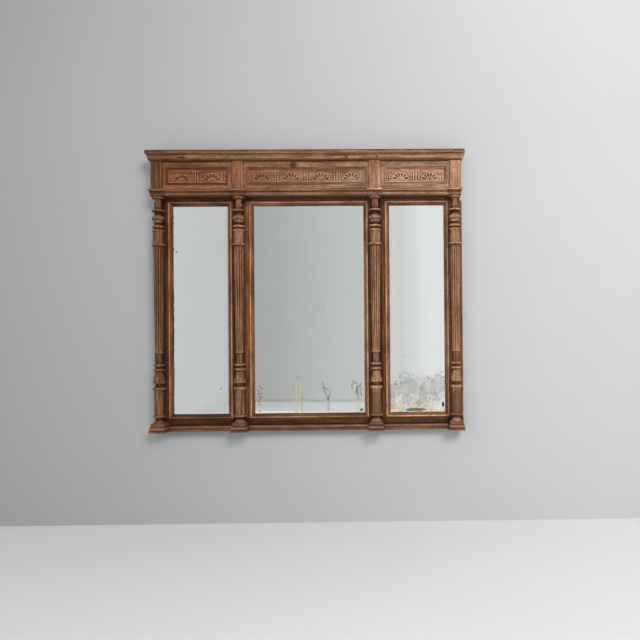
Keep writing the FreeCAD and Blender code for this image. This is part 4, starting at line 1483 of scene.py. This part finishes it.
@dataclass(frozen=True)
class WallFinish:
    """Plaster or screed, darker on the left and lighter on the right: painted light falling from
    the right.

    The change runs over span along X and grows by rise over the heights in rise_over, in metres.
    """

    name: str
    left: Colour
    right: Colour
    span: Pair = (-2.9, 2.9)
    rise: float = 0.35
    rise_over: Pair = (0.2, 1.6)
    one_sided: bool = True
    mottle: float = 0.03

    def material(self) -> Material:
        """Make the material of a stage surface.

        Returns:
            The material.
        """
        recipe = Recipe(self.name)
        where = recipe.place()
        x, _, height = recipe.axes(where)
        share = recipe.maths("SUBTRACT", recipe.span(x, *self.span), 0.5)
        spread = recipe.span(height, *self.rise_over, 1.0, 1.0 + self.rise)
        share = recipe.maths("MULTIPLY_ADD", share, spread, 0.5)
        tone = recipe.mix(share, self.left, self.right)
        cloud = recipe.noise(where, (1.6, 1.6, 1.6), 5.0)
        tone = recipe.mix(recipe.span(cloud, 0.3, 0.7, 0.0, self.mottle), tone,
                          tuple(c * 0.8 for c in self.left))
        surface = recipe.coat(tone, 0.85, {"Specular IOR Level": 0.2})
        return recipe.finish(recipe.one_sided(surface) if self.one_sided else surface)


@dataclass(frozen=True)
class FarFinish:
    """A glowing wall that only the panes show, in tones that change at (place, tone) stops along
    it: painted light that stands in for how the room is lit.
    """

    name: str
    stops: tuple[Pair, ...]
    axis: int = 0
    tint: Colour = (0.985, 1.0, 1.0)

    def material(self) -> Material:
        """Make the material, which glows with its tone whatever light there is: painted light.

        Returns:
            The material.
        """
        recipe = Recipe(self.name)
        along = recipe.axes(recipe.place())[self.axis]
        tone: Feed = self.stops[0][1]
        for (start, low), (end, high) in zip(self.stops, self.stops[1:]):
            tone = recipe.maths("ADD", tone, recipe.span(along, start, end, 0.0, high - low))
        shown = recipe.add("Emission", {
            "Color": recipe.vector("MULTIPLY", recipe.join(tone, tone, tone), self.tint)})
        return recipe.finish(recipe.one_sided(shown.outputs[0]))


# Places along X where the painted light of the far wall and its skirting changes its tone.
FAR_PLACES = (-1.925, -0.014, 0.414, 1.402)


@dataclass
class Room:
    """The plain room: the wall it hangs on, the floor and what the panes reflect.

    Lengths are in metres, but for the opening behind the mirror. It has a bottom, a top and the
    half width where it starts and ends, level by level.
    """

    floor: float = -2.004
    far: float = -6.75
    far_end: float = -6.28
    recess: float = -8.6
    corner: float = 0.357
    side: float = -2.54
    gap: float = 0.387
    skirting: float = 0.042
    ceiling: float = 5.6
    near: float = -5.1
    ends: Pair = (-6.0, 7.0)
    floor_ends: Pair = (-9.0, 5.0)
    wall_back: float = 0.0004
    skirting_depth: float = 0.01
    sheen_lift: float = 0.002
    opening: tuple[tuple[float, float, float, float], ...] = (
        (1.0, 1320.0, 0.0, 887.0), (1320.0, 1543.0, 0.0, 877.0),
        (1543.0, 1587.0, 861.0, 877.0))

    def sheet(self, name: str, corners: Sequence[Sequence[float]], material: Material,
              seen_only: bool = False, direct: bool = True) -> None:
        """Add one flat surface of the stage.

        Args:
            name: its name.
            corners: its corners in metres, anticlockwise from the side that shows.
            material: its finish.
            seen_only: whether it is left out of the light in the room.
            direct: whether the camera sees it without a pane in between.
        """
        mesh = bpy.data.meshes.new(name)
        mesh.from_pydata(corners, [], [tuple(range(len(corners)))])
        mesh.materials.append(material)
        made = bpy.data.objects.new(name, mesh)
        bpy.context.scene.collection.objects.link(made)
        made.visible_diffuse = made.visible_shadow = not seen_only
        made.visible_camera = direct

    def wall_strips(self) -> tuple[tuple[str, float, float, float, float], ...]:
        """Strips of the wall, open behind the mirror so that light reaches its back.

        Returns:
            The name, the ends along X and the bottom and top of each strip, in metres.
        """
        left, right = self.ends
        lowest, highest = (row_point(0.0, 0.0, height).z
                           for height in (self.opening[0][0], self.opening[-1][1]))
        strips = [("below", left, right, self.floor, lowest),
                  ("above", left, right, highest, self.ceiling)]
        for number, (low, high, inner, outer) in enumerate(self.opening):
            span = (row_point(0.0, 0.0, low).z, row_point(0.0, 0.0, high).z)
            strips += [(f"left_{number}", left, -outer * MM, *span),
                       (f"right_{number}", outer * MM, right, *span)]
            if inner:
                strips.append((f"middle_{number}", -inner * MM, inner * MM, *span))
        return tuple(strips)

    def build(self) -> None:
        """Put up the floor and the walls."""
        wall = WallFinish("stage_wall", (0.351, 0.353, 0.357), (0.604, 0.607, 0.614)).material()
        ground = WallFinish("stage_floor", (0.785, 0.785, 0.785), (0.87, 0.87, 0.87),
                            one_sided=False, mottle=0.05).material()
        far, foot = (FarFinish(name, tuple(zip(FAR_PLACES, tones))).material() for name, tones in (
            ("stage_far_wall", (0.46, 0.63, 0.74, 0.92)),
            ("stage_far_skirting", (0.33, 0.45, 0.55, 0.70))))
        beside = FarFinish("stage_side_wall", ((-7.5, 0.645), (-4.0, 0.69)), axis=1).material()
        # The far floor glows with painted light, lighter towards the right, and shows only in the
        # panes.
        sheen = FarFinish("stage_far_floor", ((-1.54, 0.605), (-0.83, 0.68), (-0.32, 0.75),
                                             (0.9, 0.82))).material()
        left, right = self.ends
        low, back, end = self.floor, self.wall_back, self.side + self.gap
        front, rear = self.floor_ends
        self.sheet("stage_floor", ((left, rear, low), (left, front, low), (right, front, low),
                                   (right, rear, low)), ground)
        walls = [(f"stage_wall_{name}", (start, back), (stop, back), bottom, top, wall)
                 for name, start, stop, bottom, top in self.wall_strips()]
        walls += [("stage_far_wall", (self.corner, self.far), (end, self.far_end), low,
                   self.ceiling, far),
                  ("stage_far_recess", (right, self.recess), (self.corner, self.recess), low,
                   self.ceiling, far),
                  ("stage_side_wall", (self.side, self.recess), (self.side, 0.0), low,
                   self.ceiling, beside),
                  ("stage_far_skirting", (self.corner, self.far + self.skirting_depth),
                   (end, self.far_end + self.skirting_depth), low, low + self.skirting, foot)]
        for name, (ax, ay), (bx, by), bottom, top, material in walls:
            self.sheet(name, ((ax, ay, bottom), (bx, by, bottom), (bx, by, top), (ax, ay, top)),
                       material, material is not wall)
        plan = ((self.side, self.recess), (right, self.recess), (right, self.near),
                (self.side, self.near))
        self.sheet("stage_far_floor", [(*place, low + self.sheen_lift) for place in plan], sheen,
                   True, False)


@dataclass
class Studio:
    """Plain soft light at a plain level, and the tone of what lies beyond the room."""

    level: float = 0.46
    beyond: Colour = (0.80, 0.81, 0.82)
    lamps: tuple[tuple[str, Triple, Triple, float, float], ...] = (
        ("key", (2.5, -5.5, 2.1), (0.0, 0.0, -0.7), 2.2, 250.0),
        ("fill", (-2.2, -5.4, 0.6), (0.0, 0.0, -0.8), 3.0, 45.0),
        ("back", (0.5, 3.0, 1.5), (0.0, 0.0, -0.6), 3.0, 110.0))

    def lamp(self, name: str, place: Sequence[float], aim: Sequence[float], size: float,
             watts: float) -> None:
        """Add a soft square lamp that the panes don't show.

        Args:
            name: its name.
            place: where it hangs, in metres.
            aim: where it points, in metres.
            size: its width in metres.
            watts: its power.
        """
        data = bpy.data.lights.new(name, "AREA")
        data.shape = "SQUARE"
        data.size = size
        data.energy = watts
        lamp = bpy.data.objects.new(name, data)
        bpy.context.scene.collection.objects.link(lamp)
        lamp.location = place
        lamp.rotation_euler = (Vector(aim) - Vector(place)).to_track_quat("-Z", "Y").to_euler()
        lamp.visible_glossy = False
        lamp.visible_camera = False

    def build(self) -> None:
        """Light the room and tint what lies beyond it."""
        for name, *rest in self.lamps:
            self.lamp(f"lamp_{name}", *rest)
        world = bpy.data.worlds.new("plain_room")
        bpy.context.scene.world = world
        recipe = Recipe(world.name, world)
        rays = recipe.add("LightPath").outputs
        seen = recipe.maths("MAXIMUM", rays["Is Camera Ray"], rays["Is Glossy Ray"])
        seen = recipe.maths("MAXIMUM", seen, rays["Is Transmission Ray"])
        light = recipe.add("Background", {"Color": (1.0, 1.0, 1.0, 1.0), "Strength": self.level})
        shown = recipe.add("Background", {"Color": (*self.beyond, 1.0)})
        both = recipe.add("MixShader", {0: seen, 1: light.outputs[0], 2: shown.outputs[0]})
        recipe.finish(both.outputs[0], "OutputWorld")


@dataclass
class Viewpoint:
    """The camera that took the photograph, as fitted to the frame's straight edges."""

    x: float = 482.9
    distance: float = 3310.2
    height: float = 494.8
    yaw: float = 0.01261
    pitch: float = 0.00684
    roll: float = -0.00852
    lens: float = 31.85
    sensor: float = 36.0
    shift: Pair = (-0.125, 0.0303)

    def build(self) -> None:
        """Set up the camera and make it the scene's."""
        data = bpy.data.cameras.new("camera")
        data.lens = self.lens
        data.sensor_width = self.sensor
        data.shift_x, data.shift_y = self.shift
        camera = bpy.data.objects.new("camera", data)
        bpy.context.scene.collection.objects.link(camera)
        camera.location = row_point(self.x, self.distance, self.height)
        turn = (Matrix.Rotation(-self.yaw, 3, "Z")
                @ Matrix.Rotation(math.pi / 2.0 + self.pitch, 3, "X")
                @ Matrix.Rotation(self.roll, 3, "Z"))
        camera.rotation_euler = turn.to_euler()
        bpy.context.scene.camera = camera


def main() -> None:
    """Build every part of the picture in order."""
    logging.basicConfig(level=logging.INFO, format="%(message)s")
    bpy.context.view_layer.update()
    steps: list[tuple[str, Callable[[], None]]] = [
        ("carcass", Carcass().build),
        ("crown", Crown().build),
        ("frieze", Frieze().build),
        ("panes", Panes().build),
        ("base", Base().build),
        ("hangers", Hangers().build),
        *((f"column_{place}", Column(f"column_{place}", x).build)
          for place, x in COLUMN_PLACES.items()),
        ("room", Room().build),
        ("studio", Studio().build),
        ("camera", Viewpoint().build),
    ]
    for name, build in steps:
        build()
        log.info("built %s", name)
    bpy.context.scene.view_settings.view_transform = "Standard"


if __name__ == "__main__":
    main()
